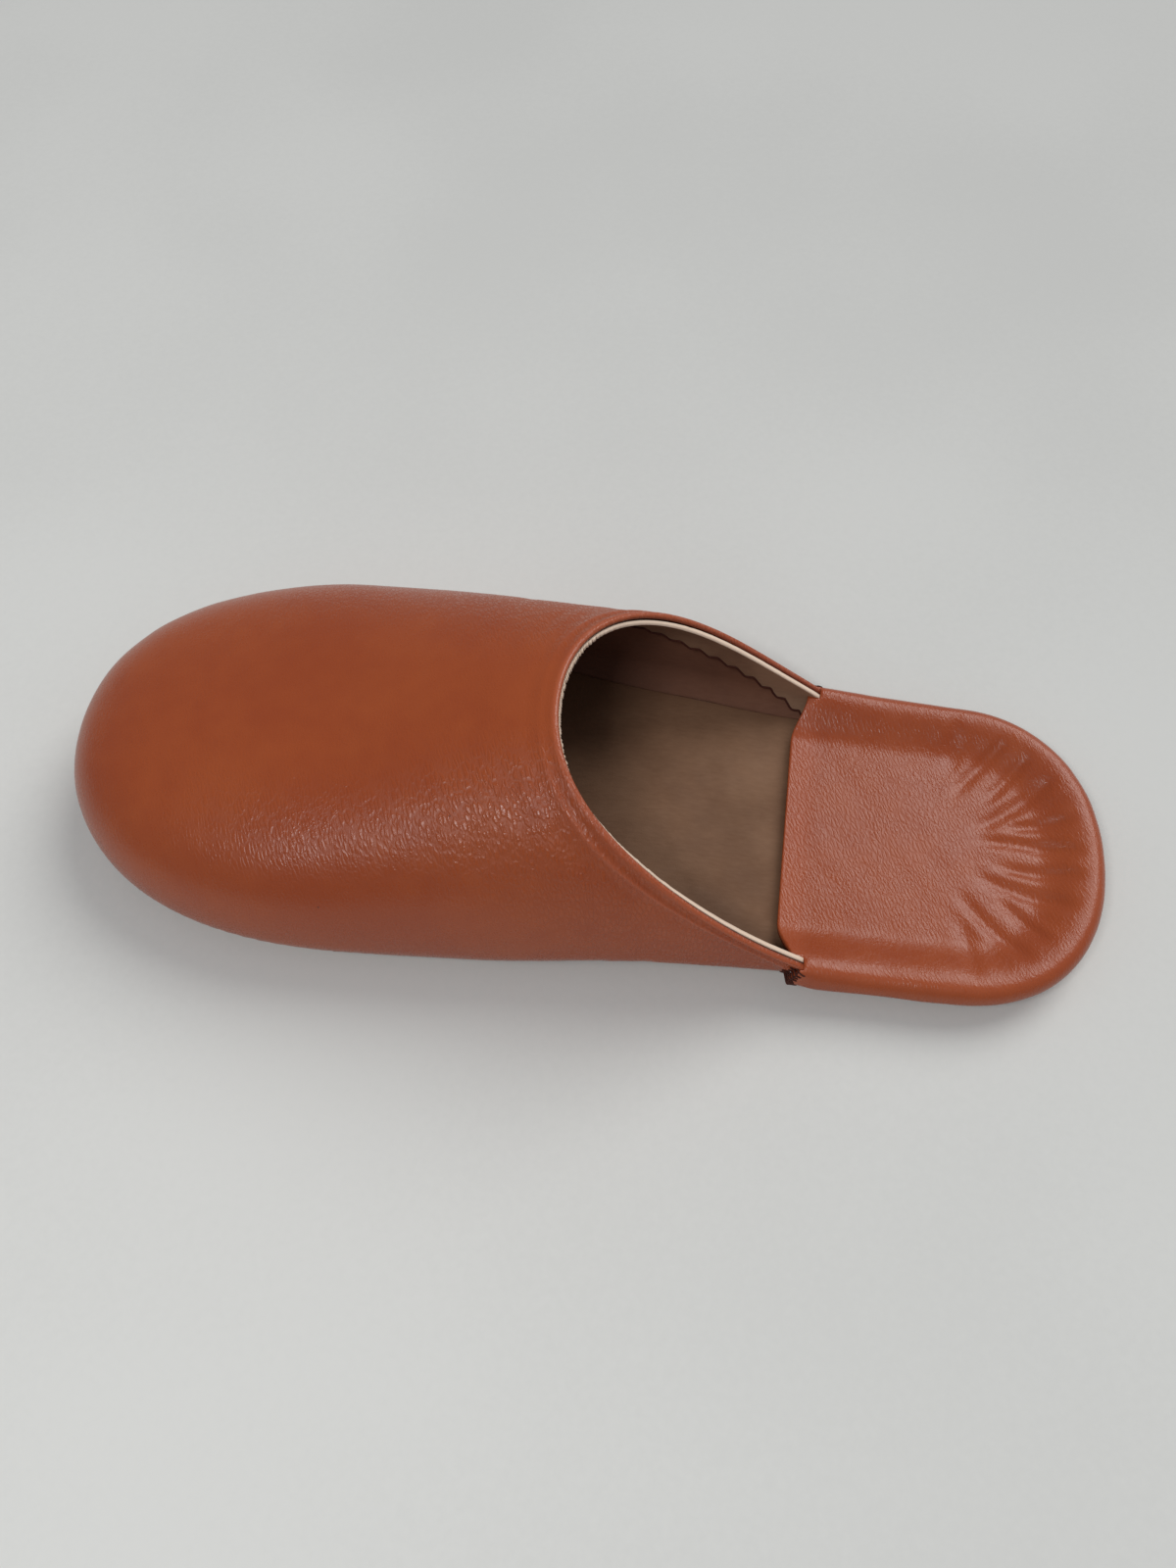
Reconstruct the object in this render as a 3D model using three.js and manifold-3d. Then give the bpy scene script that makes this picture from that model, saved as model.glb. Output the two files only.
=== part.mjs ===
// A leather babouche slipper with its back folded down: outsole, insole, one hollow upper
// (vamp and side wings) and the folded heel quarter. Millimetres, +Z up, +X to the toe,
// +Y to the left. The origin is under the middle of the shoe's length and width.
import * as THREE from "three";
import { mergeVertices } from "three/addons/utils/BufferGeometryUtils.js";
import Module from "manifold-3d";

const wasm = await Module();
wasm.setup();

// Driving dimensions of the last.
const LENGTH = 248;
const BALL_AT = 65; // widest station, behind the toe tip
const HEEL_AT = 212; // where the round of the heel begins
const SEAM_AT = 178; // side seam, where a wing ends
const THROAT_AT = 117.5; // foremost point of the topline
const OUTLINE_POWER = 2.2; // 2 is an ellipse, more is blunter
const TOPLINE_POWER = 1.9; // how round the throat is
const TOPLINE_END = 88; // degrees from the crown to the topline's end at the side seam
// Linear and cubic parts of the columns' spacing along the topline.
const TOPLINE_EASE = { linear: 0.3, cubic: 0.7 };

// Leather thicknesses and the gap between pieces.
const SOLE_THICK = 3.2;
const INSOLE_THICK = 1.5;
const WALL = 2;
const QUARTER_THICK = 2.2; // two layers of thin leather
const GAP = 0.3;

// Each row is a station: at (behind the toe tip), side (half-width of the upper), sole
// (half-width of the sole), margin (the upper's lower edge inside the sole's), insole (the
// insole's edge inside the sole's), widest (height of the widest line), crown (height of
// the last) and power (2 is an elliptical section, more is squarer).
const STATIONS = [
  { at: 0, side: 48, sole: 44.4, margin: 0.3, insole: 2.2, widest: 9, crown: 32.5, power: 2.55 },
  { at: 30, side: 48, sole: 44.4, margin: 0.3, insole: 2.2, widest: 10, crown: 35, power: 2.5 },
  { at: 65, side: 48, sole: 44.4, margin: 0.3, insole: 2.2, widest: 11, crown: 40.5, power: 2.4 },
  { at: 100, side: 46, sole: 42.2, margin: 0.3, insole: 2.2, widest: 12, crown: 49, power: 2.25 },
  { at: 140, side: 41.5, sole: 36.4, margin: 0.3, insole: 2.4, widest: 12, crown: 57.5, power: 2.1 },
  { at: 178, side: 38.4, sole: 34.4, margin: 0.8, insole: 2.8, widest: 12, crown: 61, power: 2 },
  { at: 212, side: 37.3, sole: 35.6, margin: 2, insole: 3.4, widest: 12, crown: 61, power: 2 },
];
// The parts of the half-outlines that go round the toe and along the heel's straight side.
const BALL_SHARE = 0.442;
const QUARTER_SIDE_SHARE = 0.4;
const SOLE_TOE_INSET = 3.6; // the sole's toe behind the upper's
const SOLE_HEEL_INSET = 4.6; // the sole's heel inside the quarter's

// The sole's lift off the floor.
const TOE_SPRING = 3;
const SPRING_FROM = 45;
const ARCH_LIFT = 1;
const ARCH_FROM = 112;
const ARCH_TO = 172;

// The folded quarter, measured inward from its widest line and up from the floor.
const QUARTER_FRONT = 175;
const FLAP_FRONT = 172; // the flap comes a little further forward than the fold
const QUARTER_SLACK = 0.1;
const QUARTER_OUT = GAP + QUARTER_THICK + QUARTER_SLACK; // outside the wing
const QUARTER_WIDEST = 7.6;
const FOLD = { inward: 3.5, height: 11.2 };
const FOLD_RISE = 1.3; // how much higher the fold is at its front ends
const FOLD_RISE_TO = 198;
const FLAP_SHIFT_FROM = 5.4; // the flap's front moves forward from this far inward
const FLAP = { inward: 16, height: SOLE_THICK + INSOLE_THICK + 2 * GAP + QUARTER_THICK };
const SPINE_END = 226; // the hindmost point where the flap's columns meet

// How far the upper's wall turns under at its lower edge, in degrees.
const TUCK_TURN = 60;

// The space cut in the quarter for the wings reaches this much above them.
const WING_SPACE_RISE = 2;
// How sharply that space's lengthening past the seam keeps to the wings' ends.
const WING_SPACE_POWER = 8;

// Steps of the meshes.
const UPPER_COLUMNS = 64;
const DOME_ROWS = 15;
const TUCK_ROWS = 4;
const QUARTER_COLUMNS = 40;
const WALL_ROWS = 3;
const FOLD_ROWS = 4;
const SLOPE_ROWS = 4;
const FLAP_ROWS = 2;
const PLATE_STATIONS = 44;
const PLATE_STRIPS = 6;

const RIGHT_ANGLE = Math.PI / 2;
const radians = THREE.MathUtils.degToRad;
const clamp = THREE.MathUtils.clamp;
const smoothstep = THREE.MathUtils.smoothstep;
const lerp = THREE.MathUtils.lerp;

// A smooth curve through the stations' values that never overshoots them.
function stationCurve(name) {
  const at = STATIONS.map((row) => row.at);
  const value = STATIONS.map((row) => row[name]);
  const slope = at.slice(1).map((a, i) => (value[i + 1] - value[i]) / (a - at[i]));
  const tangent = at.map((_, i) => {
    const before = slope[Math.max(i - 1, 0)];
    const after = slope[Math.min(i, slope.length - 1)];
    return before * after > 0 ? (2 * before * after) / (before + after) : 0;
  });
  return (where) => {
    const x = clamp(where, at[0], at[at.length - 1]);
    const i = Math.min(at.findLastIndex((a) => a <= x), slope.length - 1);
    const step = at[i + 1] - at[i];
    const u = (x - at[i]) / step;
    return (
      value[i] * (1 + 2 * u) * (1 - u) ** 2 +
      tangent[i] * step * u * (1 - u) ** 2 +
      value[i + 1] * u * u * (3 - 2 * u) +
      tangent[i + 1] * step * u * u * (u - 1)
    );
  };
}
const sideAt = stationCurve("side");
const soleAt = stationCurve("sole");
const marginAt = stationCurve("margin");
const insoleAt = stationCurve("insole");
const widestAt = stationCurve("widest");
const crownAt = stationCurve("crown");
const powerAt = stationCurve("power");

// How far the sole is off the floor at a station: toe spring and arch.
function liftAt(at) {
  const spring = Math.max(0, 1 - at / SPRING_FROM);
  const arch = clamp((at - ARCH_FROM) / (ARCH_TO - ARCH_FROM), 0, 1);
  return TOE_SPRING * spring ** 2 + ARCH_LIFT * Math.sin(arch * Math.PI) ** 2;
}

// A point of the shoe from its station, its distance from the middle and its height.
function place(at, across, height) {
  return new THREE.Vector3(LENGTH / 2 - at, across, height + liftAt(at));
}

// A quarter of a superellipse, from its end on the long axis (angle 0) to its side.
function roundEnd(angle, depth, half) {
  const power = 2 / OUTLINE_POWER;
  return {
    along: depth * Math.cos(angle) ** power,
    across: half * Math.sin(angle) ** power,
  };
}

// The station and half-width of an outline at a place from 0 (toe tip) to 1 (its end). The
// outline is round to the ball and then follows its half-width curve back to endAt.
function outline(share, toeDepth, halfAt, endAt) {
  if (share < BALL_SHARE) {
    const turn = (share / BALL_SHARE) * RIGHT_ANGLE;
    const { along, across } = roundEnd(turn, toeDepth, halfAt(BALL_AT));
    return { at: BALL_AT - along, across };
  }
  const at = lerp(BALL_AT, endAt, (share - BALL_SHARE) / (1 - BALL_SHARE));
  return { at, across: halfAt(at) };
}

// 0 on the middle line and 1 on the upper's widest line.
function sideShare(at, across) {
  if (at >= BALL_AT) return Math.abs(across) / sideAt(at);
  const x = (BALL_AT - at) / BALL_AT;
  const y = Math.abs(across) / sideAt(BALL_AT);
  return (x ** OUTLINE_POWER + y ** OUTLINE_POWER) ** (1 / OUTLINE_POWER);
}

// The height of the last's upper surface over a point of the plan.
function lastHeight(at, across) {
  const share = Math.min(sideShare(at, across), 1);
  const rise = (1 - share ** powerAt(at)) ** (1 / powerAt(at));
  return widestAt(at) + (crownAt(at) - widestAt(at)) * rise;
}

// The topline's plan point, from the throat (share 0) to the side seam (share 1).
function topline(share) {
  const part = TOPLINE_EASE.linear * share + TOPLINE_EASE.cubic * share ** 3;
  const at = lerp(THROAT_AT, SEAM_AT, part ** TOPLINE_POWER);
  const turn = radians(part * TOPLINE_END);
  return { at, across: sideAt(at) * Math.sin(turn) ** (2 / powerAt(at)) };
}

// A column of the upper's outer surface from the topline over the last to its lower edge.
// share runs from -1 (right side seam) through 0 (toe) to 1 (left side seam). past
// lengthens the wings beyond the side seam, and rise lifts the topline.
function upperColumn(share, past, rise) {
  const hand = Math.sign(share) || 1;
  const part = Math.abs(share);
  const top = topline(part);
  const wide = outline(part, BALL_AT, sideAt, SEAM_AT);
  const low = outline(
    part,
    BALL_AT - SOLE_TOE_INSET - marginAt(0),
    (at) => soleAt(at) - marginAt(at),
    SEAM_AT,
  );
  const behindBall = Math.max(0, (part - BALL_SHARE) / (1 - BALL_SHARE));
  const back = past * behindBall ** WING_SPACE_POWER;
  const dome = Array.from({ length: DOME_ROWS + 1 }, (_, i) => {
    const s = Math.sin((i / DOME_ROWS) * RIGHT_ANGLE);
    const at = lerp(top.at, wide.at, s);
    const across = lerp(top.across, wide.across, s);
    return place(at + back, hand * across, lastHeight(at, across) + rise * (1 - s) ** 2);
  });
  const turn = radians(TUCK_TURN);
  const tuck = Array.from({ length: TUCK_ROWS }, (_, i) => {
    const angle = ((i + 1) / TUCK_ROWS) * turn;
    const inward = (1 - Math.cos(angle)) / (1 - Math.cos(turn));
    const down = Math.sin(angle) / Math.sin(turn);
    const at = lerp(wide.at, low.at, inward);
    const across = lerp(wide.across, low.across, inward);
    const height = lerp(widestAt(wide.at), SOLE_THICK + GAP, down);
    return place(at + back, hand * across, height);
  });
  return [...dome, ...tuck];
}

// The outward normals of a grid of columns, from each point's neighbours.
function gridNormals(columns) {
  return columns.map((column, i) =>
    column.map((_, j) => {
      const next = columns[Math.min(i + 1, columns.length - 1)][j];
      const before = columns[Math.max(i - 1, 0)][j];
      const below = column[Math.min(j + 1, column.length - 1)];
      const above = column[Math.max(j - 1, 0)];
      const around = new THREE.Vector3().subVectors(next, before);
      const down = new THREE.Vector3().subVectors(below, above);
      return down.cross(around).normalize();
    }),
  );
}

// The grid moved along its normals.
function offsetGrid(columns, normals, distance) {
  return columns.map((column, i) =>
    column.map((point, j) => point.clone().addScaledVector(normals[i][j], distance)),
  );
}

// Triangles of the strip between two rows of points. It faces along x (a to b), where along
// is the way that the rows run.
function strip(triangles, a, b) {
  for (let i = 0; i + 1 < a.length; i += 1) {
    triangles.push(a[i], a[i + 1], b[i + 1]);
    triangles.push(a[i], b[i + 1], b[i]);
  }
}

function gridTriangles(triangles, columns) {
  for (let i = 0; i + 1 < columns.length; i += 1) {
    strip(triangles, columns[i], columns[i + 1]);
  }
}

const reversed = (columns) => [...columns].reverse();
const rowOf = (columns, j) => columns.map((column) => column.at(j));

// A solid from triangles given as a flat list of points.
function solidOf(triangles) {
  const loose = new THREE.BufferGeometry().setFromPoints(triangles);
  const merged = mergeVertices(loose, 1e-3);
  const index = merged.index.array;
  const faces = [];
  for (let i = 0; i < index.length; i += 3) {
    const [a, b, c] = [index[i], index[i + 1], index[i + 2]];
    if (a !== b && b !== c && c !== a) faces.push(a, b, c);
  }
  return new wasm.Manifold(
    new wasm.Mesh({
      numProp: 3,
      vertProperties: merged.attributes.position.array,
      triVerts: new Uint32Array(faces),
    }),
  );
}

// The solid between an outer and an inner grid, with rims along their edges. The columns of
// a grid with an open start begin on one line, where its two halves meet.
function solidBetween(outer, inner, openStart = false) {
  const triangles = [];
  gridTriangles(triangles, outer);
  gridTriangles(triangles, reversed(inner));
  strip(triangles, inner[0], outer[0]);
  strip(triangles, outer.at(-1), inner.at(-1));
  strip(triangles, rowOf(inner, -1), rowOf(outer, -1));
  if (!openStart) strip(triangles, rowOf(outer, 0), rowOf(inner, 0));
  return solidOf(triangles);
}

// The upper's wall between two offsets of the last, as a solid.
function upperWall(outOffset, inOffset, past = 0, rise = 0) {
  const columns = Array.from({ length: UPPER_COLUMNS + 1 }, (_, i) =>
    upperColumn((2 * i) / UPPER_COLUMNS - 1, past, rise),
  );
  const normals = gridNormals(columns);
  return solidBetween(
    offsetGrid(columns, normals, outOffset),
    offsetGrid(columns, normals, inOffset),
  );
}

// The quarter's outline from the seam (share 0) to the middle of the heel (share 1).
function quarterOutline(share) {
  const half = (at) => sideAt(at) + QUARTER_OUT;
  if (share < QUARTER_SIDE_SHARE) {
    const at = lerp(QUARTER_FRONT, HEEL_AT, share / QUARTER_SIDE_SHARE);
    return { at, across: half(at) };
  }
  const turn = (1 - (share - QUARTER_SIDE_SHARE) / (1 - QUARTER_SIDE_SHARE)) * RIGHT_ANGLE;
  const { along, across } = roundEnd(turn, LENGTH - HEEL_AT, half(HEEL_AT));
  return { at: HEEL_AT + along, across };
}

// How far the quarter's lower edge is inside its widest line.
function quarterTuck(at) {
  const side = sideAt(at) + QUARTER_OUT - soleAt(at);
  return lerp(side, SOLE_HEEL_INSET, clamp((at - HEEL_AT) / (LENGTH - HEEL_AT), 0, 1));
}

// The quarter's profile, as inward distances and heights from its lower edge over the fold.
function quarterProfile(tuck, foldHeight) {
  const turn = radians(TUCK_TURN);
  const wall = Array.from({ length: WALL_ROWS }, (_, i) => {
    const angle = (1 - i / WALL_ROWS) * turn;
    const inward = (tuck * (1 - Math.cos(angle))) / (1 - Math.cos(turn));
    const down = Math.sin(angle) / Math.sin(turn);
    return { inward, height: lerp(QUARTER_WIDEST, SOLE_THICK + GAP, down) };
  });
  const fold = Array.from({ length: FOLD_ROWS }, (_, i) => {
    const angle = (i / FOLD_ROWS) * RIGHT_ANGLE;
    return {
      inward: FOLD.inward * (1 - Math.cos(angle)),
      height: lerp(QUARTER_WIDEST, foldHeight, Math.sin(angle)),
    };
  });
  const slope = Array.from({ length: SLOPE_ROWS + 1 }, (_, i) => {
    const part = i / SLOPE_ROWS;
    const ease = (1 + Math.cos(part * Math.PI)) / 2;
    return {
      inward: lerp(FOLD.inward, FLAP.inward, part),
      height: lerp(FLAP.height, foldHeight, ease),
    };
  });
  return [...wall, ...fold, ...slope];
}

// A column of the quarter's outer surface from the middle of the flap out over the fold and
// down to the lower edge, on one hand of the shoe.
function quarterColumn(share, hand) {
  const nudge = 1e-3;
  const here = quarterOutline(share);
  const before = quarterOutline(Math.max(share - nudge, 0));
  const after = quarterOutline(Math.min(share + nudge, 1));
  const along = { at: after.at - before.at, across: after.across - before.across };
  const size = Math.hypot(along.at, along.across);
  const behindFront = smoothstep(here.at, QUARTER_FRONT, FOLD_RISE_TO);
  const inward = { at: (behindFront * along.across) / size, across: -along.at / size };
  const foldHeight = FOLD.height + FOLD_RISE * (1 - behindFront);
  const forward = (QUARTER_FRONT - FLAP_FRONT) * (1 - behindFront);
  const over = quarterProfile(quarterTuck(here.at), foldHeight).map((step) =>
    place(
      here.at + inward.at * step.inward -
        forward * smoothstep(step.inward, FLAP_SHIFT_FROM, FLAP.inward),
      hand * Math.max(here.across + inward.across * step.inward, 0),
      step.height,
    ),
  );
  const spine = place(lerp(FLAP_FRONT, SPINE_END, share), 0, FLAP.height);
  const flap = Array.from({ length: FLAP_ROWS }, (_, i) =>
    over.at(-1).clone().lerp(spine, (i + 1) / FLAP_ROWS),
  );
  return [...over, ...flap].reverse();
}

// The quarter before it is cut for the wings.
function quarterWhole() {
  const columns = [];
  for (let i = -QUARTER_COLUMNS / 2; i <= QUARTER_COLUMNS / 2; i += 1) {
    const share = 1 - Math.abs(i) / (QUARTER_COLUMNS / 2);
    columns.push(quarterColumn(share, i < 0 ? 1 : -1));
  }
  const inner = offsetGrid(columns, gridNormals(columns), -QUARTER_THICK);
  for (const point of rowOf(inner, 0)) point.y = 0;
  return solidBetween(columns, inner, true);
}

// A flat plate of leather between two heights, inside the sole's outline by inset(at).
function plate(bottom, top, inset) {
  const toe = SOLE_TOE_INSET + inset(0);
  const heel = LENGTH - SOLE_HEEL_INSET - inset(HEEL_AT);
  const half = (at) => {
    const width = soleAt(at) - inset(at);
    const end = at < BALL_AT ? BALL_AT - toe : heel - HEEL_AT;
    const past = at < BALL_AT ? BALL_AT - at : Math.max(at - HEEL_AT, 0);
    const share = Math.min(past / end, 1);
    return width * (1 - share ** OUTLINE_POWER) ** (1 / OUTLINE_POWER);
  };
  const stationOf = (i) => {
    const part = i / PLATE_STATIONS;
    return lerp(toe, heel, (1 - Math.cos(part * Math.PI)) / 2);
  };
  const columns = (height) =>
    Array.from({ length: PLATE_STRIPS + 1 }, (_, j) =>
      Array.from({ length: PLATE_STATIONS + 1 }, (_, i) => {
        const at = stationOf(i);
        return place(at, half(at) * (1 - (2 * j) / PLATE_STRIPS), height);
      }),
    );
  return solidBetween(columns(top), columns(bottom));
}

function meshOf(name, solid, colour, roughness) {
  const { vertProperties, triVerts, numProp } = solid.getMesh();
  if (numProp !== 3) throw new Error(`${name} has properties besides position`);
  const geometry = new THREE.BufferGeometry();
  geometry.setAttribute("position", new THREE.BufferAttribute(vertProperties, 3));
  geometry.setIndex(new THREE.BufferAttribute(triVerts, 1));
  geometry.computeVertexNormals();
  const material = new THREE.MeshStandardMaterial({ color: colour, roughness, metalness: 0 });
  const mesh = new THREE.Mesh(geometry, material);
  mesh.name = name;
  return mesh;
}

const TERRACOTTA = "#ab5a39";
const TAN = "#c9a98c";
const SOLE_TAN = "#b98a62";

const upper = upperWall(0, -WALL);
const wingSpace = upperWall(GAP, -WALL - GAP, GAP, WING_SPACE_RISE);
const quarter = quarterWhole().subtract(wingSpace);
const sole = plate(0, SOLE_THICK, () => 0);
const insoleFloor = SOLE_THICK + GAP;
const insole = plate(insoleFloor, insoleFloor + INSOLE_THICK, insoleAt);

const babouche = new THREE.Group();
babouche.add(
  meshOf("outsole", sole, SOLE_TAN, 0.6),
  meshOf("insole", insole, TAN, 0.8),
  meshOf("upper", upper, TERRACOTTA, 0.45),
  meshOf("heel_quarter", quarter, TERRACOTTA, 0.45),
);

export default babouche;
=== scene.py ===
"""A leather babouche slipper with its back folded down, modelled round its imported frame.

Sizes in the tables are millimetres of the shoe. "at" runs from the toe tip to the heel and
"across" from the middle to the left; heights are above the sole's underside.
"""

import math

import bmesh
import bpy
import numpy as np
from bpy.props import FloatProperty, FloatVectorProperty, IntProperty, PointerProperty
from mathutils import Matrix, Vector


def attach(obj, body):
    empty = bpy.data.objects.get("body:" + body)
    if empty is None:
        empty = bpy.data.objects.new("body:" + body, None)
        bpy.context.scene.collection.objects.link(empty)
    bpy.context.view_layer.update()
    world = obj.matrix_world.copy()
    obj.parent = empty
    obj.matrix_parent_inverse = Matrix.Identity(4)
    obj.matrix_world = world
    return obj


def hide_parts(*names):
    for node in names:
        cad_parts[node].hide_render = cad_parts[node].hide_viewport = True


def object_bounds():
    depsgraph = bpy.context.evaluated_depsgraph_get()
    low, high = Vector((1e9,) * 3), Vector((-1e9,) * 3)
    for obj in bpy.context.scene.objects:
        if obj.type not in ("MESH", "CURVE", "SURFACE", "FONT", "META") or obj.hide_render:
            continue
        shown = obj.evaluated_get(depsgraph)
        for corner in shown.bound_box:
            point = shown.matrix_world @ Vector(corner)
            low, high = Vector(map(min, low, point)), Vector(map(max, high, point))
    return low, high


bl_info = {
    "name": "Babouche Slipper",
    "version": (1, 0, 0),
    "blender": (4, 5, 0),
    "location": "View3D > Sidebar > Slipper",
    "description": "Models a leather babouche slipper with its back folded down",
    "category": "Add Mesh",
}

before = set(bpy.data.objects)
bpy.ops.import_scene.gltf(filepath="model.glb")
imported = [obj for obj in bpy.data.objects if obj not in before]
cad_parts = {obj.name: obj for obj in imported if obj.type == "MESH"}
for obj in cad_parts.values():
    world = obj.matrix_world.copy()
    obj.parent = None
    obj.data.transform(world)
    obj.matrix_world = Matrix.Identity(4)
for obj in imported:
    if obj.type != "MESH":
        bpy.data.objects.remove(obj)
CAD_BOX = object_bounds()

# --- The last, in millimetres -----------------------------------------------------------

LENGTH = 248.0
MM = (CAD_BOX[1].x - CAD_BOX[0].x) / LENGTH  # metres to a millimetre of the tables

BALL_AT = 65.0
HEEL_AT = 212.0
SEAM_AT = 178.0
THROAT_AT = 117.5
OUTLINE_POWER = 2.2
TOPLINE_POWER = 1.9
TOPLINE_END = 89.5
TOPLINE_EASE = (0.3, 0.7)  # linear and cubic parts of the columns' spacing on the topline
BALL_SHARE = 0.442
SOLE_THICK = 3.2
INSOLE_THICK = 1.5
QUARTER_THICK = 2.2
GAP = 0.3
SOLE_TOE_INSET = 3.6
SOLE_HEEL_INSET = 4.6
TOE_SPRING, SPRING_FROM = 3.0, 45.0
ARCH_LIFT, ARCH_FROM, ARCH_TO = 1.0, 112.0, 172.0
TUCK_TURN = math.radians(60)

STATION_COLUMNS = ("at", "side", "sole", "margin", "insole", "widest", "crown", "power")
STATIONS = (
    (0, 48, 44.4, 0.3, 2.2, 9, 32.5, 2.55),
    (30, 48, 44.4, 0.3, 2.2, 10, 35, 2.5),
    (65, 48, 44.4, 0.3, 2.2, 11, 40.5, 2.4),
    (100, 46, 42.2, 0.3, 2.2, 12, 49, 2.25),
    (140, 41.5, 36.4, 0.3, 2.4, 12, 57.5, 2.1),
    (178, 38.4, 34.4, 0.8, 2.8, 12, 61, 2),
    (212, 37.3, 35.6, 2, 3.4, 12, 61, 2),
)

# The folded quarter.
QUARTER_FRONT = 175.0
FLAP_FRONT = 172.0
QUARTER_OUT = GAP + QUARTER_THICK + 0.1
QUARTER_WIDEST = 7.6
QUARTER_SIDE_SHARE = 0.4
FOLD_INWARD, FOLD_HEIGHT = 3.5, 11.2
FOLD_RISE, FOLD_RISE_TO = 1.3, 198.0  # the fold is higher at its front ends
FLAP_INWARD = 16.0
FLAP_HEIGHT = SOLE_THICK + INSOLE_THICK + 2 * GAP + QUARTER_THICK
SPINE_END = 226.0
# The slot in the fold where a wing's end stands up through it.
SLOT_INWARD = (2.2, 5.4)
SLOT_END = SEAM_AT + 0.1
# The quarter's front ends come to a blunt point that is sewn down on the wing.
TAB_HEIGHT, TAB_REACH, TAB_CUT = 8.0, 4.6, 2.8
TAB_HUG, TAB_LENGTH = 1.0, 7.0

# The upper's rim in section, down from the topline: a bead, a groove, the ridge of the
# turned edge and a soft valley, with their heights on the vamp and on the wings.
RIM_COLUMNS = ("down", "width", "vamp", "wings")
RIM_PROFILE = (
    (1.2, 0.6, 0.1, 0.2),
    (2.9, 0.6, -0.04, -0.2),
    (4.4, 0.55, 0.05, 0.25),
    (6.8, 1.7, -0.16, -0.16),
)
# Soft creases of the upper. turn is degrees from the shoe's length towards
# its left, length and width are of the crease, and depth is negative for a ridge.
CREASE_COLUMNS = ("at", "across", "turn", "length", "width", "depth")
UPPER_CREASES = (
    (112, 24, 62, 26, 3.0, 0.22),
    (119, 29, 58, 24, 2.6, -0.16),
    (126, 33, 40, 26, 3.2, 0.26),
    (136, 36, 24, 30, 3.0, 0.22),
    (131, 38, 30, 24, 2.4, -0.14),
    (104, 33, 74, 22, 3.4, 0.16),
    (95, 36, 80, 20, 3.0, 0.14),
    (113, -25, -60, 26, 3.2, 0.2),
    (122, -31, -48, 26, 2.8, 0.22),
    (134, -36, -26, 30, 3.0, 0.24),
    (103, -34, -76, 22, 3.2, 0.15),
    (99, 4, 88, 34, 4.5, 0.12),
    (84, -6, 84, 42, 5.0, 0.1),
    (70, 9, 92, 40, 5.5, 0.1),
    (46, -14, 70, 26, 5.0, 0.1),
    (38, 20, 108, 24, 5.0, 0.1),
)
# Gathers of the folded quarter round the heel's centre: angle in degrees from straight back
# towards the left, reach how near the centre it comes, and bend how far it strays.
HEEL_CENTRE = 206.0
GATHER_COLUMNS = ("angle", "reach", "bend", "width", "depth")
GATHERS = (
    (-78, 19, 2.0, 1.7, 0.30),
    (-61, 13, -1.5, 1.5, 0.42),
    (-47, 17, 1.0, 1.3, 0.36),
    (-33, 10, 1.5, 1.7, 0.50),
    (-18, 15, -1.0, 1.3, 0.40),
    (-5, 9, -1.8, 1.6, 0.52),
    (9, 14, 1.2, 1.3, 0.42),
    (23, 11, 1.6, 1.7, 0.50),
    (38, 17, -1.2, 1.3, 0.36),
    (52, 12, 1.4, 1.5, 0.44),
    (70, 18, -1.6, 1.7, 0.30),
)


def rows_of(columns, rows):
    """Each row of a table as a dictionary by its columns' names."""
    return [dict(zip(columns, row)) for row in rows]


def station_curve(name):
    """A smooth curve through the stations' values that never overshoots them."""
    at = np.array([row["at"] for row in rows_of(STATION_COLUMNS, STATIONS)], float)
    value = np.array([row[name] for row in rows_of(STATION_COLUMNS, STATIONS)], float)
    slope = np.diff(value) / np.diff(at)
    before = np.concatenate([slope[:1], slope])
    after = np.concatenate([slope, slope[-1:]])
    same_way = before * after > 0
    total = np.where(same_way, before + after, 1)
    tangent = np.where(same_way, 2 * before * after / total, 0)

    def curve(where):
        x = np.clip(where, at[0], at[-1])
        i = np.clip(np.searchsorted(at, x, side="right") - 1, 0, len(slope) - 1)
        step = at[i + 1] - at[i]
        u = (x - at[i]) / step
        return (
            value[i] * (1 + 2 * u) * (1 - u) ** 2
            + tangent[i] * step * u * (1 - u) ** 2
            + value[i + 1] * u * u * (3 - 2 * u)
            + tangent[i + 1] * step * u * u * (u - 1)
        )

    return curve


side_at = station_curve("side")
sole_at = station_curve("sole")
margin_at = station_curve("margin")
insole_at = station_curve("insole")
widest_at = station_curve("widest")
crown_at = station_curve("crown")
power_at = station_curve("power")


def lift_at(at):
    """How far the sole is off the floor at a station: toe spring and arch."""
    spring = np.maximum(0, 1 - at / SPRING_FROM)
    arch = np.clip((at - ARCH_FROM) / (ARCH_TO - ARCH_FROM), 0, 1)
    return TOE_SPRING * spring**2 + ARCH_LIFT * np.sin(arch * math.pi) ** 2


def place(at, across, height):
    """Points of the shoe in its own frame, still in millimetres."""
    at, across, height = np.broadcast_arrays(at, across, height)
    return np.stack([LENGTH / 2 - at, across, height + lift_at(at)], axis=-1)


def side_share(at, across):
    """0 on the middle line and 1 on the upper's widest line."""
    x = np.clip((BALL_AT - at) / BALL_AT, 0, None)
    y = np.abs(across) / side_at(np.maximum(at, BALL_AT))
    round_toe = (x**OUTLINE_POWER + y**OUTLINE_POWER) ** (1 / OUTLINE_POWER)
    return np.where(at < BALL_AT, round_toe, y)


def last_height(at, across):
    """The height of the last's upper surface over a point of the plan."""
    share = np.minimum(side_share(at, across), 1)
    power = power_at(at)
    rise = np.maximum(1 - share**power, 0) ** (1 / power)
    return widest_at(at) + (crown_at(at) - widest_at(at)) * rise


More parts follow.
